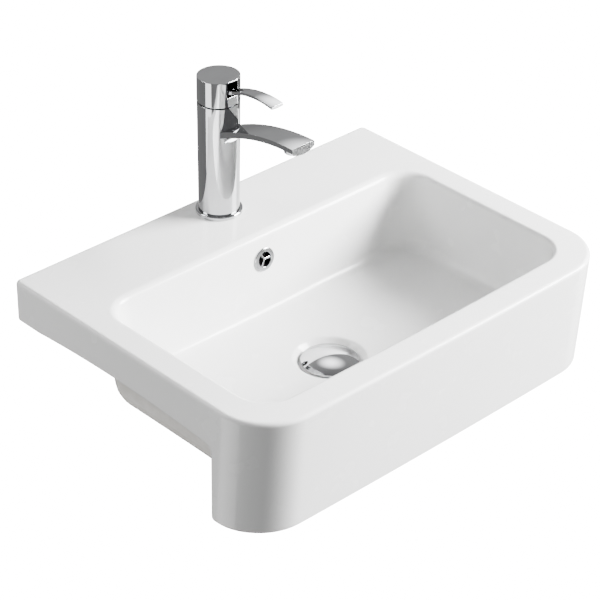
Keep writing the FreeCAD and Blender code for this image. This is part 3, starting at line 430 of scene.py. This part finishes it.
def side_route():
    """The lower edge of the right side, front to back: (y, z, into-the-wall y, into-the-wall z)."""
    route = []
    start = FRONT + APRON_INSET + FRONT_CORNER
    flat_end = APRON_REAR - APRON_TURN
    for i in range(FOOT_STEPS):
        route.append((start + (flat_end - start) * i / FOOT_STEPS, APRON_BOTTOM, 0, 1))
    low = APRON_BOTTOM + APRON_TURN
    for i in range(TURN_STEPS):
        angle = math.radians(-90 + 90 * i / (TURN_STEPS - 1))
        c, s = math.cos(angle), math.sin(angle)
        route.append((flat_end + APRON_TURN * c, low + APRON_TURN * s, -c, -s))
    for i in range(1, REAR_STEPS + 1):
        route.append((APRON_REAR, low - (low + APRON_FILLET) * i / (REAR_STEPS + 1), -1, 0))
    for i in range(FILLET_STEPS):
        angle = math.radians(180 - 90 * i / (FILLET_STEPS - 1))
        c, s = math.cos(angle), math.sin(angle)
        route.append((APRON_REAR + APRON_FILLET + APRON_FILLET * c, -APRON_FILLET + APRON_FILLET * s, c, s))
    first, last = APRON_REAR + APRON_FILLET, BACK - LEDGE
    middle, half = (first + last) / 2, (last - first) / 2
    ends = math.sqrt(ARCH_RADIUS ** 2 - half ** 2)
    for i in range(1, ARCH_STEPS + 1):
        y = first + (last - first) * i / (ARCH_STEPS + 1)
        height = math.sqrt(ARCH_RADIUS ** 2 - (y - middle) ** 2)
        route.append((y, height - ends, (y - middle) / ARCH_RADIUS, height / ARCH_RADIUS))
    for i in range(LEDGE_STEPS):
        route.append((last + (BACK - BACK_CORNER - last) * i / (LEDGE_STEPS - 1), 0, 0, 1))
    return route


ROUTE = side_route()
SIDE_STEPS = len(ROUTE)


def deck_levels():
    """The y of each step of the side at the deck; ahead of the arch they are spread evenly."""
    anchors = [(0, FRONT + FRONT_CORNER), (REAR_END, APRON_REAR - 1), (FILLET_END, APRON_REAR + APRON_FILLET)]
    levels = []
    for i, step in enumerate(ROUTE):
        if i >= FILLET_END:
            levels.append(step[0])
            continue
        for (i0, y0), (i1, y1) in zip(anchors, anchors[1:]):
            if i0 <= i <= i1:
                levels.append(y0 + (y1 - y0) * (i - i0) / (i1 - i0))
                break
    return levels


def outline(half_width, back, front, back_corner, front_corner, bow, bow_start, sides=None):
    """Points and inward directions round a plan, counterclockwise from the front's left end.

    sides gives the y of each step of the straight sides; without it they are evenly spaced.
    """
    w, f, b = half_width, front_corner, back_corner
    found = []

    def add_corner(x, y, radius, start, steps):
        for i in range(1, steps):
            angle = math.radians(start + 90 * i / steps)
            c, s = math.cos(angle), math.sin(angle)
            found.append((x + radius * c, y + radius * s, -c, -s))

    levels = sides
    if levels is None:
        low, high = front + f, back - b
        levels = [low + (high - low) * i / (SIDE_STEPS - 1) for i in range(SIDE_STEPS)]
    for i in range(FRONT_STEPS + 1):
        found.append((-(w - f) + 2 * (w - f) * i / FRONT_STEPS, front, 0, 1))
    add_corner(w - f, front + f, f, -90, CORNER_STEPS)
    for y in levels:
        found.append((w, y, -1, 0))
    add_corner(w - b, back - b, b, 0, BACK_CORNER_STEPS)
    for i in range(FRONT_STEPS + 1):
        found.append((w - b - 2 * (w - b) * i / FRONT_STEPS, back, 0, -1))
    add_corner(-(w - b), back - b, b, 90, BACK_CORNER_STEPS)
    for y in reversed(levels):
        found.append((-w, y, 1, 0))
    add_corner(-(w - f), front + f, f, 180, CORNER_STEPS)
    bent = []
    for x, y, nx, ny in found:
        share = smoothstep((bow_start - y) / BOW_RUN)
        bent.append((x, y + bow * (x / w) ** 2 * share, nx, ny))
    return bent


def skirt_outline(front, levels):
    return outline(HALF_WIDTH, BACK, front, BACK_CORNER, FRONT_CORNER, APRON_BOW, APRON_BOW_START, levels)


def skirt_inside(front, levels):
    """The inside of the skirt, one wall in from its outside."""
    back = BACK - SKIRT_WALL
    return outline(HALF_WIDTH - SKIRT_WALL, back, front + SKIRT_WALL, INNER_CORNER, FRONT_CORNER - SKIRT_WALL,
                   APRON_BOW, APRON_BOW_START, [min(y, back) for y in levels])


def bowl_outline(size, grow=0):
    """A plan of the bowl, grown outward by its wall for the outside."""
    half_width, back, front = size
    corner = BOWL_CORNER + grow
    return outline(half_width + grow, back + grow, front - grow, corner, corner, BOWL_BOW, BOWL_BOW_START)


FOOT_LEVELS = [step[0] for step in ROUTE]
DECK_LEVELS = deck_levels()
OUTER_TOP = skirt_outline(FRONT, DECK_LEVELS)
OUTER_LOW = skirt_outline(FRONT + APRON_INSET, FOOT_LEVELS)
BOWL_TOP = bowl_outline(BOWL_RIM)
BOWL_LOW = bowl_outline(BOWL_FLOOR)

# Where the straight sides start and end in each plan.
COUNT = len(OUTER_TOP)
RIGHT_START = FRONT_STEPS + CORNER_STEPS
RIGHT_END = RIGHT_START + SIDE_STEPS
LEFT_END = COUNT - CORNER_STEPS + 1
LEFT_START = LEFT_END - SIDE_STEPS


def at_level(plan, z):
    return [(p[0], p[1], z) for p in plan]


def between(one, two, t):
    return [tuple(a + (b - a) * t for a, b in zip(p, q)) for p, q in zip(one, two)]


def waste_circle(radius, z):
    """A circle about the waste, with a point towards each point of the bowl's plan."""
    centre = Vector((*WASTE, 0))
    points = []
    for x, y, _, _ in BOWL_LOW:
        away = (Vector((x, y, 0)) - centre).normalized()
        points.append((centre.x + away.x * radius, centre.y + away.y * radius, z))
    return points


class Skin:
    """The rings that the basin's surface runs through, each with its material."""

    def __init__(self):
        self.rings = []
        self.slots = []

    def add(self, points, slot=GLAZED):
        self.rings.append(points)
        self.slots.append(slot)

    def add_arcs(self, arcs, slot=GLAZED):
        for step in range(len(arcs[0])):
            self.add([arc[step] for arc in arcs], slot)

    def add_between(self, one, two, shares, slot=GLAZED):
        for share in shares:
            self.add(between(one, two, share), slot)

    def build(self):
        """Joins each ring to the next, and the last, bare, to the first."""
        build = Builder()
        indices = [build.ring(points) for points in self.rings]
        for k in range(len(indices)):
            following = (k + 1) % len(indices)
            slot = max(self.slots[k], self.slots[following]) if following else BARE
            build.bridge(indices[k], indices[following], slot)
        return build


def even(first, parts):
    """The fractions of an even division, from the first whole number of parts, without the end."""
    return [i / parts for i in range(first, parts)]


def bowl_arcs(lip_ring):
    """For each point of the bowl's plan, the arc of the crease and the arc of the rim."""
    crease_arcs, rim_arcs = [], []
    for i in range(COUNT):
        x, y, nx, ny = BOWL_LOW[i]
        tx, ty = BOWL_TOP[i][:2]
        corner = Vector((x, y, CREASE))
        wall = Vector((tx - x, ty - y, DECK - CREASE))
        run = Vector(lip_ring[i]) - corner
        inward = Vector((nx, ny, 0))
        share = abs(Vector((run.x, run.y, 0)).normalized().dot(inward))
        slope = math.atan2(-run.z, Vector((run.x, run.y, 0)).length) * share
        floor = inward * math.cos(slope) + Vector((0, 0, -math.sin(slope)))
        crease_arcs.append(corner_arc(corner, floor, wall, CREASE_RADIUS, CREASE_STEPS))
        radius = RIM_RADIUS + RIM_RADIUS_GAIN * smoothstep((ty - RIM_GAIN_START) / RIM_GAIN_RUN)
        rim_arcs.append(corner_arc(Vector((tx, ty, DECK)), -wall, -inward, radius, RIM_STEPS))
    return crease_arcs, rim_arcs


def add_bowl(skin):
    """From the waste hole up to the rim. Returns the points where the deck starts."""
    for radius, z in RECESS:
        skin.add(waste_circle(radius, z))
    radius, floor = RECESS[-1]
    for i in range(1, BANK_STEPS):
        t = i / BANK_STEPS
        skin.add(waste_circle(radius + BANK_WIDTH * t, floor + (WASTE_LIP - floor) * smoothstep(t)))
    lip_ring = waste_circle(LIP_RADIUS, WASTE_LIP)
    crease_arcs, rim_arcs = bowl_arcs(lip_ring)
    skin.add_between(lip_ring, [arc[0] for arc in crease_arcs], even(0, FLOOR_ROWS))
    skin.add_arcs(crease_arcs)
    skin.add_between([arc[-1] for arc in crease_arcs], [arc[0] for arc in rim_arcs], even(1, WALL_ROWS))
    skin.add_arcs(rim_arcs)
    return [arc[-1] for arc in rim_arcs]


def add_deck(skin, deck_start):
    """The deck and the rounding of its outer edge. Returns the points where the outside walls start."""
    edge_arcs = []
    for i in range(COUNT):
        x, y, nx, ny = OUTER_TOP[i]
        down = Vector((OUTER_LOW[i][0] - x, OUTER_LOW[i][1] - y, APRON_BOTTOM - DECK))
        if RIGHT_START <= i < LEFT_END:
            down = Vector((0, 0, -1))
        edge_arcs.append(corner_arc(Vector((x, y, DECK)), (nx, ny, 0), down, DECK_EDGE,
                                    DECK_EDGE_STEPS))
    skin.add_between(deck_start, [arc[0] for arc in edge_arcs], (0.03, 0.5, 0.97))
    skin.add_arcs(edge_arcs)
    return [arc[-1] for arc in edge_arcs]


def lower_edge():
    """The sharp lower edge round the skirt, and the direction from each point up into the wall."""
    path, into = [], []
    for i in range(COUNT):
        x, y = OUTER_LOW[i][:2]
        if RIGHT_START <= i < RIGHT_END or LEFT_START <= i < LEFT_END:
            step = ROUTE[i - RIGHT_START] if i < RIGHT_END else ROUTE[LEFT_END - 1 - i]
            path.append(Vector((x, y, step[1])))
            into.append(Vector((0, step[2], step[3])))
        elif RIGHT_END <= i < LEFT_START:
            path.append(Vector((x, y, 0)))
            into.append(Vector((0, 0, 1)))
        else:
            path.append(Vector((x, y, APRON_BOTTOM)))
            into.append((Vector((OUTER_TOP[i][0], OUTER_TOP[i][1], DECK)) - path[-1]).normalized())
    return path, into


def add_outside(skin, wall_head):
    """The outside walls and the rounding of their lower edge. Returns that edge."""
    path, into = lower_edge()
    wall_foot = [p + w * LOWER_EDGE for p, w in zip(path, into)]
    skin.add_between(wall_head, wall_foot, (0.04, 0.2, 0.4, 0.6, 0.8, 0.96))
    for step in range(LOWER_EDGE_STEPS + 1):
        angle = math.radians(90 * step / LOWER_EDGE_STEPS)
        ring = []
        for i in range(COUNT):
            inward = Vector((OUTER_LOW[i][2], OUTER_LOW[i][3], 0))
            ring.append(path[i] + inward * LOWER_EDGE * (1 - math.cos(angle))
                        + into[i] * LOWER_EDGE * (1 - math.sin(angle)))
        skin.add(ring, BARE if step == LOWER_EDGE_STEPS else GLAZED)
    return path


def add_underside(skin, path):
    """The skirt's land and inside, the underside of the deck, the bowl's outside and the waste boss."""
    inner_low = skirt_inside(FRONT + APRON_INSET, FOOT_LEVELS)
    ceiling = at_level(skirt_inside(FRONT, DECK_LEVELS), DECK - SKIRT_WALL)
    land = [(inner_low[i][0], inner_low[i][1], path[i].z) for i in range(COUNT)]
    skin.add(land, BARE)
    skin.add(between(land, ceiling, 0.5), BARE)
    skin.add(ceiling, BARE)
    head = at_level(bowl_outline(BOWL_RIM, BOWL_WALL), DECK - SKIRT_WALL)
    skin.add(head, BARE)
    foot = at_level(bowl_outline(BOWL_FLOOR, BOWL_WALL), CREASE - BOWL_WALL)
    boss_top = waste_circle(BOSS_TOP_RADIUS, WASTE_LIP - BOWL_WALL)
    arcs = []
    for i in range(COUNT):
        corner = Vector(foot[i])
        arcs.append(corner_arc(corner, Vector(head[i]) - corner, Vector(boss_top[i]) - corner,
                               OUTSIDE_CREASE_RADIUS, OUTSIDE_CREASE_STEPS))
    skin.add_arcs(arcs, BARE)
    skin.add_between([arc[-1] for arc in arcs], boss_top, even(1, OUTSIDE_ROWS), BARE)
    for radius, z in BOSS:
        skin.add(waste_circle(radius, z), BARE)


def make_basin():
    skin = Skin()
    deck_start = add_bowl(skin)
    wall_head = add_deck(skin, deck_start)
    path = add_outside(skin, wall_head)
    add_underside(skin, path)
    basin = skin.build().piece("basin_body", "basin_and_tap", "white_glaze", [GLAZE, BISQUE, PASSAGE_PAINTED_SHADE],
                               ["basin"], sharp_above=50)
    tap_hole = tube_points((TAP[0], TAP[1], 0), (0, 0, 1), TAP_HOLE_RADIUS, *TAP_HOLE_SPAN)
    cut_with(basin, *tap_hole)
    # The walls of the overflow hole through the bowl get the near-black painted shade.
    cut_with(basin, *overflow_hole(), slot_material=PASSAGE_PAINTED_SHADE)
    weigh_normals(basin)


def overflow_hole():
    """The hole through the bowl's back wall into the overflow passage."""
    return tube_points(OVERFLOW, OVERFLOW_OUT, OVERFLOW_RADIUS, *OVERFLOW_SPAN)


def make_passage():
    """The overflow passage on the outside of the bowl's back wall and floor."""
    half_width = 22
    side = [(-74, 34.7), (-74, -70), (-75.4, -77.5), (-79.4, -83.6), (-85, -87), (-92, -88), (-180, -88),
            (-180, -68), (-166, -64.5), (-116, -55), (-104, -50), (-96, 34.7)]
    build = Builder()
    left = build.ring([(-half_width, y, z) for y, z in side])
    right = build.ring([(half_width, y, z) for y, z in side])
    build.bridge(left, right)
    build.face(left)
    build.face(right)
    passage = build.piece("overflow_passage", "basin_and_tap", "white_glaze", [BISQUE, PASSAGE_PAINTED_SHADE])
    # The walls of the overflow hole through the passage get the near-black painted shade.
    cut_with(passage, *overflow_hole(), slot_material=PASSAGE_PAINTED_SHADE)
    add_bevel(passage, 3)
    weigh_normals(passage)


make_basin()
make_passage()


# ---------------------------------------------------------------- turned pieces

def lathe(build, profile, centre, segments=128):
    """Turns a closed (r, z) profile about a vertical axis through centre."""
    rings = []
    for r, z in profile:
        ring = []
        for j in range(segments):
            angle = 2 * math.pi * j / segments
            ring.append((centre[0] + r * math.cos(angle), centre[1] + r * math.sin(angle), centre[2] + z))
        rings.append(build.ring(ring))
    for one, two in zip(rings, rings[1:] + rings[:1]):
        build.bridge(one, two)


def turned_piece(name, body, profile, centre, nodes):
    build = Builder()
    lathe(build, softened(profile), centre)
    piece = build.piece(name, body, "chrome_plate", [CHROME], nodes)
    weigh_normals(piece)


def make_base_ring():
    profile = [(17, 1.5), (25.1, 1.5), (25.1, 0), (26.5, 0, 0.3), (26.5, 4.6, 1.6), (17, 4.6, 0.3)]
    turned_piece("base_ring", "basin_and_tap", profile, TAP, ["tap_base_ring"])


def make_plug():
    """The waste's cover: a spherical dome on a thin rim."""
    radius, rim, crown = 32.5, -62.4, 5.8
    sphere = (radius ** 2 + crown ** 2) / (2 * crown)
    profile = [(0, -62), (29.5, -62), (29.5, -64), (31.7, -64, 0.25), (32.4, -63.3, 0.25)]
    rows = 18
    edge = math.asin((radius - 0.25) / sphere)
    for i in range(rows + 1):
        angle = edge * (1 - i / rows)
        profile.append((sphere * math.sin(angle), rim + crown - sphere + sphere * math.cos(angle)))
    turned_piece("plug_dome", "plug", profile, (*WASTE, 0), ["plug_cap"])


FACET_STEPS = 8
ROUND_STEPS = 112
FACET_EDGES = (0, FACET_STEPS)
UNCUT_HALF_ANGLE = math.radians(27)


def facet_ring(radius, face, height, centre=TAP):
    """A circle with its front cut flat at distance face, if face is given and lies inside it.

    height(y) is the ring's height over the centre.
    """
    flat = face is not None and face < radius
    half = math.acos(face / radius) if flat else UNCUT_HALF_ANGLE
    points = []
    for i in range(FACET_STEPS):
        t = -1 + 2 * i / FACET_STEPS
        if flat:
            points.append((radius * math.sin(half) * t, -face))
        else:
            points.append((radius * math.sin(half * t), -radius * math.cos(half * t)))
    for i in range(ROUND_STEPS):
        angle = half + (2 * math.pi - 2 * half) * i / ROUND_STEPS
        points.append((radius * math.sin(angle), -radius * math.cos(angle)))
    return [(centre[0] + x, centre[1] + y, centre[2] + height(y)) for x, y in points]


def make_column():
    """The tap's column: a slightly wider top, a flat front facet that fades out, and the cartridge's room."""
    foot, foot_edge, foot_radius = 6, 6.4, 23.2
    top, top_radius = 136.8, 23.85
    facet_foot, facet_top = 96, 138.3
    face_foot, face_gain = 21.05, 1.7
    room, room_floor = 17.5, 109.8
    neck, neck_top, shoulder = 20.2, 140.2, 137.3
    rounding, chamfer = 0.5, 0.3
    groove, shank, bore = 22.4, 16.9, 14.6
    groove_top, groove_foot, shank_foot, bore_top = 5.9, 4.65, -8, 40

    def wall(height):
        return foot_radius + (top_radius - foot_radius) * (height - foot) / (top - foot)

    def face(height):
        return face_foot + face_gain * (height - facet_foot) / (facet_top - facet_foot)

    # Each row is a radius, a height and the distance of the facet from the axis, or None without one.
    rows = [(0.0, room_floor, None), (room, room_floor, None), (room, neck_top - chamfer, None),
            (room + chamfer, neck_top, None), (neck - chamfer, neck_top, None),
            (neck, neck_top - chamfer, None), (neck, shoulder, None)]
    first_facet_row = len(rows)
    for i in range(5):
        angle = math.radians(90 * i / 4)
        height = top + rounding * math.cos(angle)
        rows.append((wall(top) - rounding + rounding * math.sin(angle), height, face(height)))
    for i in range(1, 9):
        height = top + (facet_foot - top) * i / 8
        rows.append((wall(height), height, face(height)))
    last_facet_row = len(rows)
    rows += [(wall(facet_foot), facet_foot - 0.1, None), (wall(50), 50, None),
             (wall(foot_edge), foot_edge, None)]
    for i in range(1, 5):
        angle = math.radians(90 * i / 4)
        radius = wall(foot) - rounding + rounding * math.cos(angle)
        rows.append((radius, foot_edge - rounding * math.sin(angle), None))
    rows += [(groove, groove_top, None), (groove, groove_foot, None), (shank, groove_foot, None),
             (shank, shank_foot + rounding, None), (shank - rounding, shank_foot, None),
             (bore, shank_foot, None), (bore, bore_top, None), (0.0, bore_top, None)]
    build = Builder()
    rings = [build.ring(facet_ring(radius, flat, lambda y: height)) for radius, height, flat in rows]
    for one, two in zip(rings, rings[1:]):
        build.bridge(one, two)
    for k in range(first_facet_row, last_facet_row):
        for j in FACET_EDGES:
            build.sharp.append((rings[k][j], rings[k + 1][j]))
    piece = build.piece("column", "basin_and_tap", "chrome_plate", [CHROME], ["tap_column"])
    weigh_normals(piece)


def make_cap():
    """The handle's cap: a faceted shell with a sloping top, a slot for the lever, and a plate inside."""
    radius, face, thickness = 24, 22.75, 2.6
    foot, slot_foot, height, slot_below_top = 138.9, 149.5, 168, 1.8
    slope = math.tan(math.radians(1.5))

    def top(y):
        return height - y * slope

    build = Builder()
    rows = [lambda y: foot, lambda y: slot_foot, lambda y: top(y) - slot_below_top, top]
    rings = [build.ring(facet_ring(radius, face, row)) for row in rows]
    build.bridge(rings[0], rings[1])
    build.bridge(rings[1], rings[2], skip=range(*FACET_EDGES))
    build.bridge(rings[2], rings[3])
    outer = rings[3]
    for share in (0.75, 0.5, 0.25, 0.0):
        inner = []
        for x, y, _ in facet_ring(radius, face, lambda y: 0, (0, 0, 0)):
            inner.append((TAP[0] + x * share, TAP[1] + y * share, TAP[2] + top(y * share)))
        inner = build.ring(inner)
        build.bridge(outer, inner)
        outer = inner
    for one, two in zip(rings, rings[1:]):
        for j in FACET_EDGES:
            build.sharp.append((one[j], two[j]))
    piece = build.piece("handle_body", "handle", "chrome_plate", [CHROME], ["handle_cap"],
                        sharp_above=NEVER_SHARP)
    solid = piece.modifiers.new("wall", "SOLIDIFY")
    solid.thickness = thickness * MM
    solid.offset = -1
    solid.use_even_offset = True
    add_bevel(piece, 0.45)
    weigh_normals(piece)
    plate = [(9, 141, 0.2), (20.8, 141), (20.8, 143.4), (9, 143.4, 0.2)]
    turned_piece("cap_plate", "handle", plate, TAP, [])


make_base_ring()
make_plug()
make_column()
make_cap()


# ---------------------------------------------------------------- spout and lever

def blade(build, centre, stations, half_width, crown, belly, columns=14):
    """A curved blade: at each distance d the section's top and underside follow arcs about centre.

    crown(x) and belly(x) are the radii of the top and the underside at x.
    """
    rings = []
    for d in stations:
        w = half_width(d)
        ring = []
        for radius_at, order in ((crown, 1), (belly, -1)):
            for i in range(columns + 1):
                x = order * w * (-1 + 2 * i / columns)
                rho = radius_at(x)
                height = centre[1] + math.sqrt(rho ** 2 - (d - centre[0]) ** 2)
                ring.append((TAP[0] + x, TAP[1] - d, TAP[2] + height))
        rings.append(build.ring(ring))
    for one, two in zip(rings, rings[1:]):
        build.bridge(one, two)
    for ring in (rings[0], rings[-1]):
        for i in range(columns):
            build.face((ring[i], ring[i + 1], ring[2 * columns - i], ring[2 * columns + 1 - i]))


def spread(start, end, parts):
    """The distances that divide a length evenly."""
    return [start + (end - start) * i / parts for i in range(parts + 1)]


def camber(radius, x, half_width):
    """How far an arc across the blade stands above its own height at half_width."""
    return math.sqrt(radius ** 2 - x * x) - math.sqrt(radius ** 2 - half_width ** 2)


def make_spout():
    """The spout: a wide curved blade with a round boss under its end for the aerator."""
    root, tip, tip_top = 14, 134, 135.6
    half_width, widening, widening_start = 14.6, 1.4, 12
    arc, thickness, edge = 267, 4.7, 17
    outlet, outlet_drop = 119, 10.2
    build = Builder()
    blade(build, (tip, tip_top - arc), spread(root, tip, 40),
          lambda d: half_width + widening * (d - widening_start) / (tip - widening_start),
          lambda x: arc + camber(180, x, edge),
          lambda x: arc - thickness - camber(28, x, edge))
    boss = [(9.1, -1.6, 0.3), (11, -1.6, 0.4), (11, 4.5), (9.1, 4.5)]
    lathe(build, softened(boss, 3), (0, TAP[1] - outlet, TAP[2] + tip_top - outlet_drop), 64)
    piece = build.piece("spout_body", "basin_and_tap", "chrome_plate", [CHROME], ["spout"],
                        sharp_above=NEVER_SHARP)
    add_bevel(piece, 0.5, 4, 28)
    weigh_normals(piece)


def make_lever():
    """The lever: a slim curved blade, the socket on the cartridge's stem and the neck between them."""
    root, tip, crest, crest_top = 11, 93.5, 72.6, 169.5
    half_width, widening, widening_start = 6.5, 2, 20
    arc, edge = 114, 9.5
    build = Builder()
    blade(build, (crest, crest_top - arc), spread(root, tip, 34),
          lambda d: half_width + widening * max(d - widening_start, 0) / (tip - widening_start),
          lambda x: arc - 0.6 + camber(75, x, edge),
          lambda x: arc - 3.2 - camber(60, x, edge))
    socket_foot, neck_top = 147.4, 150.4
    socket = [(4, socket_foot), (8, socket_foot, 0.4), (8, 155.5, 0.6), (0, 155.5), (0, 153), (4, 153)]
    lathe(build, softened(socket, 3), TAP, 64)
    neck = [(-5.5, -15), (5.5, -15), (5.5, -5), (-5.5, -5)]
    low = build.ring([(x, TAP[1] + y, TAP[2] + socket_foot) for x, y in neck])
    high = build.ring([(x, TAP[1] + y, TAP[2] + neck_top) for x, y in neck])
    build.bridge(low, high)
    build.face(low)
    build.face(high)
    piece = build.piece("lever_blade", "lever_arm", "chrome_plate", [CHROME], ["lever"],
                        sharp_above=NEVER_SHARP)
    add_bevel(piece, 0.35)
    weigh_normals(piece)


make_spout()
make_lever()


# ---------------------------------------------------------------- overflow trim

def make_trim():
    """The overflow ring, with its sleeve and three spokes, square to the bowl's sloping back wall."""
    up = Vector((0, math.sin(OVERFLOW_TILT), math.cos(OVERFLOW_TILT)))
    right = Vector((1, 0, 0))
    centre = Vector(OVERFLOW)
    profile = softened([(9, 1.9, 0.5), (9, -8), (10.9, -8), (10.9, 0), (14, 0), (14, 1.9, 1.3)])
    steps = 72
    build = Builder()
    rings = []
    for r, depth in profile:
        ring = []
        for j in range(steps):
            angle = 2 * math.pi * j / steps
            ring.append(centre + right * r * math.cos(angle) + up * r * math.sin(angle)
                        + OVERFLOW_OUT * depth)
        rings.append(build.ring(ring))
    for one, two in zip(rings, rings[1:] + rings[:1]):
        build.bridge(one, two)
    spokes, spoke_length = 3, 9.3
    section = [(-1.1, -1), (1.1, -1), (1.1, 0.7), (0.7, 1), (-0.7, 1), (-1.1, 0.7)]
    for spoke in range(spokes):
        angle = math.radians(360 / spokes * spoke)
        along = right * math.cos(angle) + up * math.sin(angle)
        across = OVERFLOW_OUT.cross(along)
        ends = []
        for reach in (0, spoke_length):
            end = centre + along * reach
            ends.append(build.ring([end + across * a + OVERFLOW_OUT * b for a, b in section]))
        build.bridge(*ends)
        build.face(ends[0])
        build.face(ends[1])
    piece = build.piece("trim_ring", "basin_and_tap", "chrome_plate", [CHROME], ["overflow_trim"])
    weigh_normals(piece)


make_trim()


# ---------------------------------------------------------------- floor and light

def stage_floor():
    """A pure white floor for the camera that the basin doesn't reflect."""
    width, height, glow = 80, -0.6, 16
    bpy.ops.mesh.primitive_plane_add(size=width, location=(0, 0, height))
    floor = bpy.context.object
    floor.name = "floor"
    material = bpy.data.materials.new("floor")
    material.use_nodes = True
    shader = material.node_tree.nodes["Principled BSDF"]
    shader.inputs["Base Color"].default_value = (0.85, 0.85, 0.85, 1)
    shader.inputs["Roughness"].default_value = 0.9
    shader.inputs["Emission Color"].default_value = (1, 1, 1, 1)
    shader.inputs["Emission Strength"].default_value = glow
    floor.data.materials.append(material)
    floor.visible_glossy = False
    floor.visible_diffuse = False


def softbox(name, direction, distance, size, radiance):
    """A rectangular light aimed at the bowl; radiance is what it looks like to a mirror."""
    target = Vector((0, -0.2, 0))
    data = bpy.data.lights.new(name, "AREA")
    data.shape = "RECTANGLE"
    data.size, data.size_y = size
    data.energy = radiance * math.pi * size[0] * size[1]
    light = bpy.data.objects.new(name, data)
    bpy.context.scene.collection.objects.link(light)
    place = target + Vector(direction).normalized() * distance
    light.location = place
    light.rotation_euler = (target - place).to_track_quat("-Z", "Y").to_euler()


def glow_card(centre, radius, strength):
    """A round card aimed at the spout that fades out to its edge; only reflections show it."""
    target = Vector((0, -0.13, 0.19))
    bpy.ops.mesh.primitive_circle_add(vertices=64, radius=radius, fill_type="NGON", location=centre)
    card = bpy.context.object
    card.name = "glow_card"
    card.rotation_euler = (target - Vector(centre)).to_track_quat("Z", "Y").to_euler()
    material = bpy.data.materials.new("glow")
    material.use_nodes = True
    tree = material.node_tree
    tree.nodes.clear()
    place = tree.nodes.new("ShaderNodeTexCoord")
    length = tree.nodes.new("ShaderNodeVectorMath")
    length.operation = "LENGTH"
    fade = tree.nodes.new("ShaderNodeMapRange")
    fade.interpolation_type = "SMOOTHSTEP"
    fade.inputs["From Min"].default_value = radius
    fade.inputs["From Max"].default_value = 0
    clear = tree.nodes.new("ShaderNodeBsdfTransparent")
    glow = tree.nodes.new("ShaderNodeEmission")
    glow.inputs["Strength"].default_value = strength
    mix = tree.nodes.new("ShaderNodeMixShader")
    output = tree.nodes.new("ShaderNodeOutputMaterial")
    tree.links.new(place.outputs["Object"], length.inputs[0])
    tree.links.new(length.outputs["Value"], fade.inputs["Value"])
    tree.links.new(fade.outputs["Result"], mix.inputs[0])
    tree.links.new(clear.outputs[0], mix.inputs[1])
    tree.links.new(glow.outputs[0], mix.inputs[2])
    tree.links.new(mix.outputs[0], output.inputs["Surface"])
    card.data.materials.append(material)
    card.visible_camera = False
    card.visible_diffuse = False
    card.visible_shadow = False


def sky_patch(tree, direction, inner, outer, strength):
    """A soft bright patch of sky: full within the inner angle, gone at the outer angle, in degrees."""
    place = tree.nodes.new("ShaderNodeTexCoord")
    along = tree.nodes.new("ShaderNodeVectorMath")
    along.operation = "DOT_PRODUCT"
    along.inputs[1].default_value = Vector(direction).normalized()
    tree.links.new(place.outputs["Generated"], along.inputs[0])
    fade = tree.nodes.new("ShaderNodeMapRange")
    fade.interpolation_type = "SMOOTHSTEP"
    fade.inputs["From Min"].default_value = math.cos(math.radians(outer))
    fade.inputs["From Max"].default_value = math.cos(math.radians(inner))
    fade.inputs["To Max"].default_value = strength
    tree.links.new(along.outputs["Value"], fade.inputs["Value"])
    return fade.outputs["Result"]


# The sky's even grey, and its patches: direction, inner and outer angle in degrees, and added strength.
SKY = 0.31
PATCHES = (((0.55, 0.60, 0.55), 10, 40, 0.28), ((-0.55, -0.75, 0.2), 15, 60, 0.1))


def make_world():
    """A grey studio sky with two soft brighter patches."""
    world = bpy.data.worlds.new("studio")
    world.use_nodes = True
    tree = world.node_tree
    total = None
    for patch in PATCHES:
        sum_node = tree.nodes.new("ShaderNodeMath")
        tree.links.new(sky_patch(tree, *patch), sum_node.inputs[0])
        sum_node.inputs[1].default_value = SKY
        if total is not None:
            tree.links.new(total, sum_node.inputs[1])
        total = sum_node.outputs[0]
    tree.links.new(total, tree.nodes["Background"].inputs["Color"])
    bpy.context.scene.world = world


stage_floor()
make_world()
softbox("key", direction=(0.75, -0.50, 0.43), distance=2.4, size=(1.3, 1.1), radiance=122)
glow_card(centre=(0.351, 0.12, 0.53), radius=0.22, strength=7)
softbox("rear", direction=(-0.60, 0.55, 0.58), distance=2.2, size=(0.8, 0.8), radiance=14)
softbox("low", direction=(-0.855, 0.18, -0.48), distance=1.5, size=(0.8, 0.8), radiance=4)
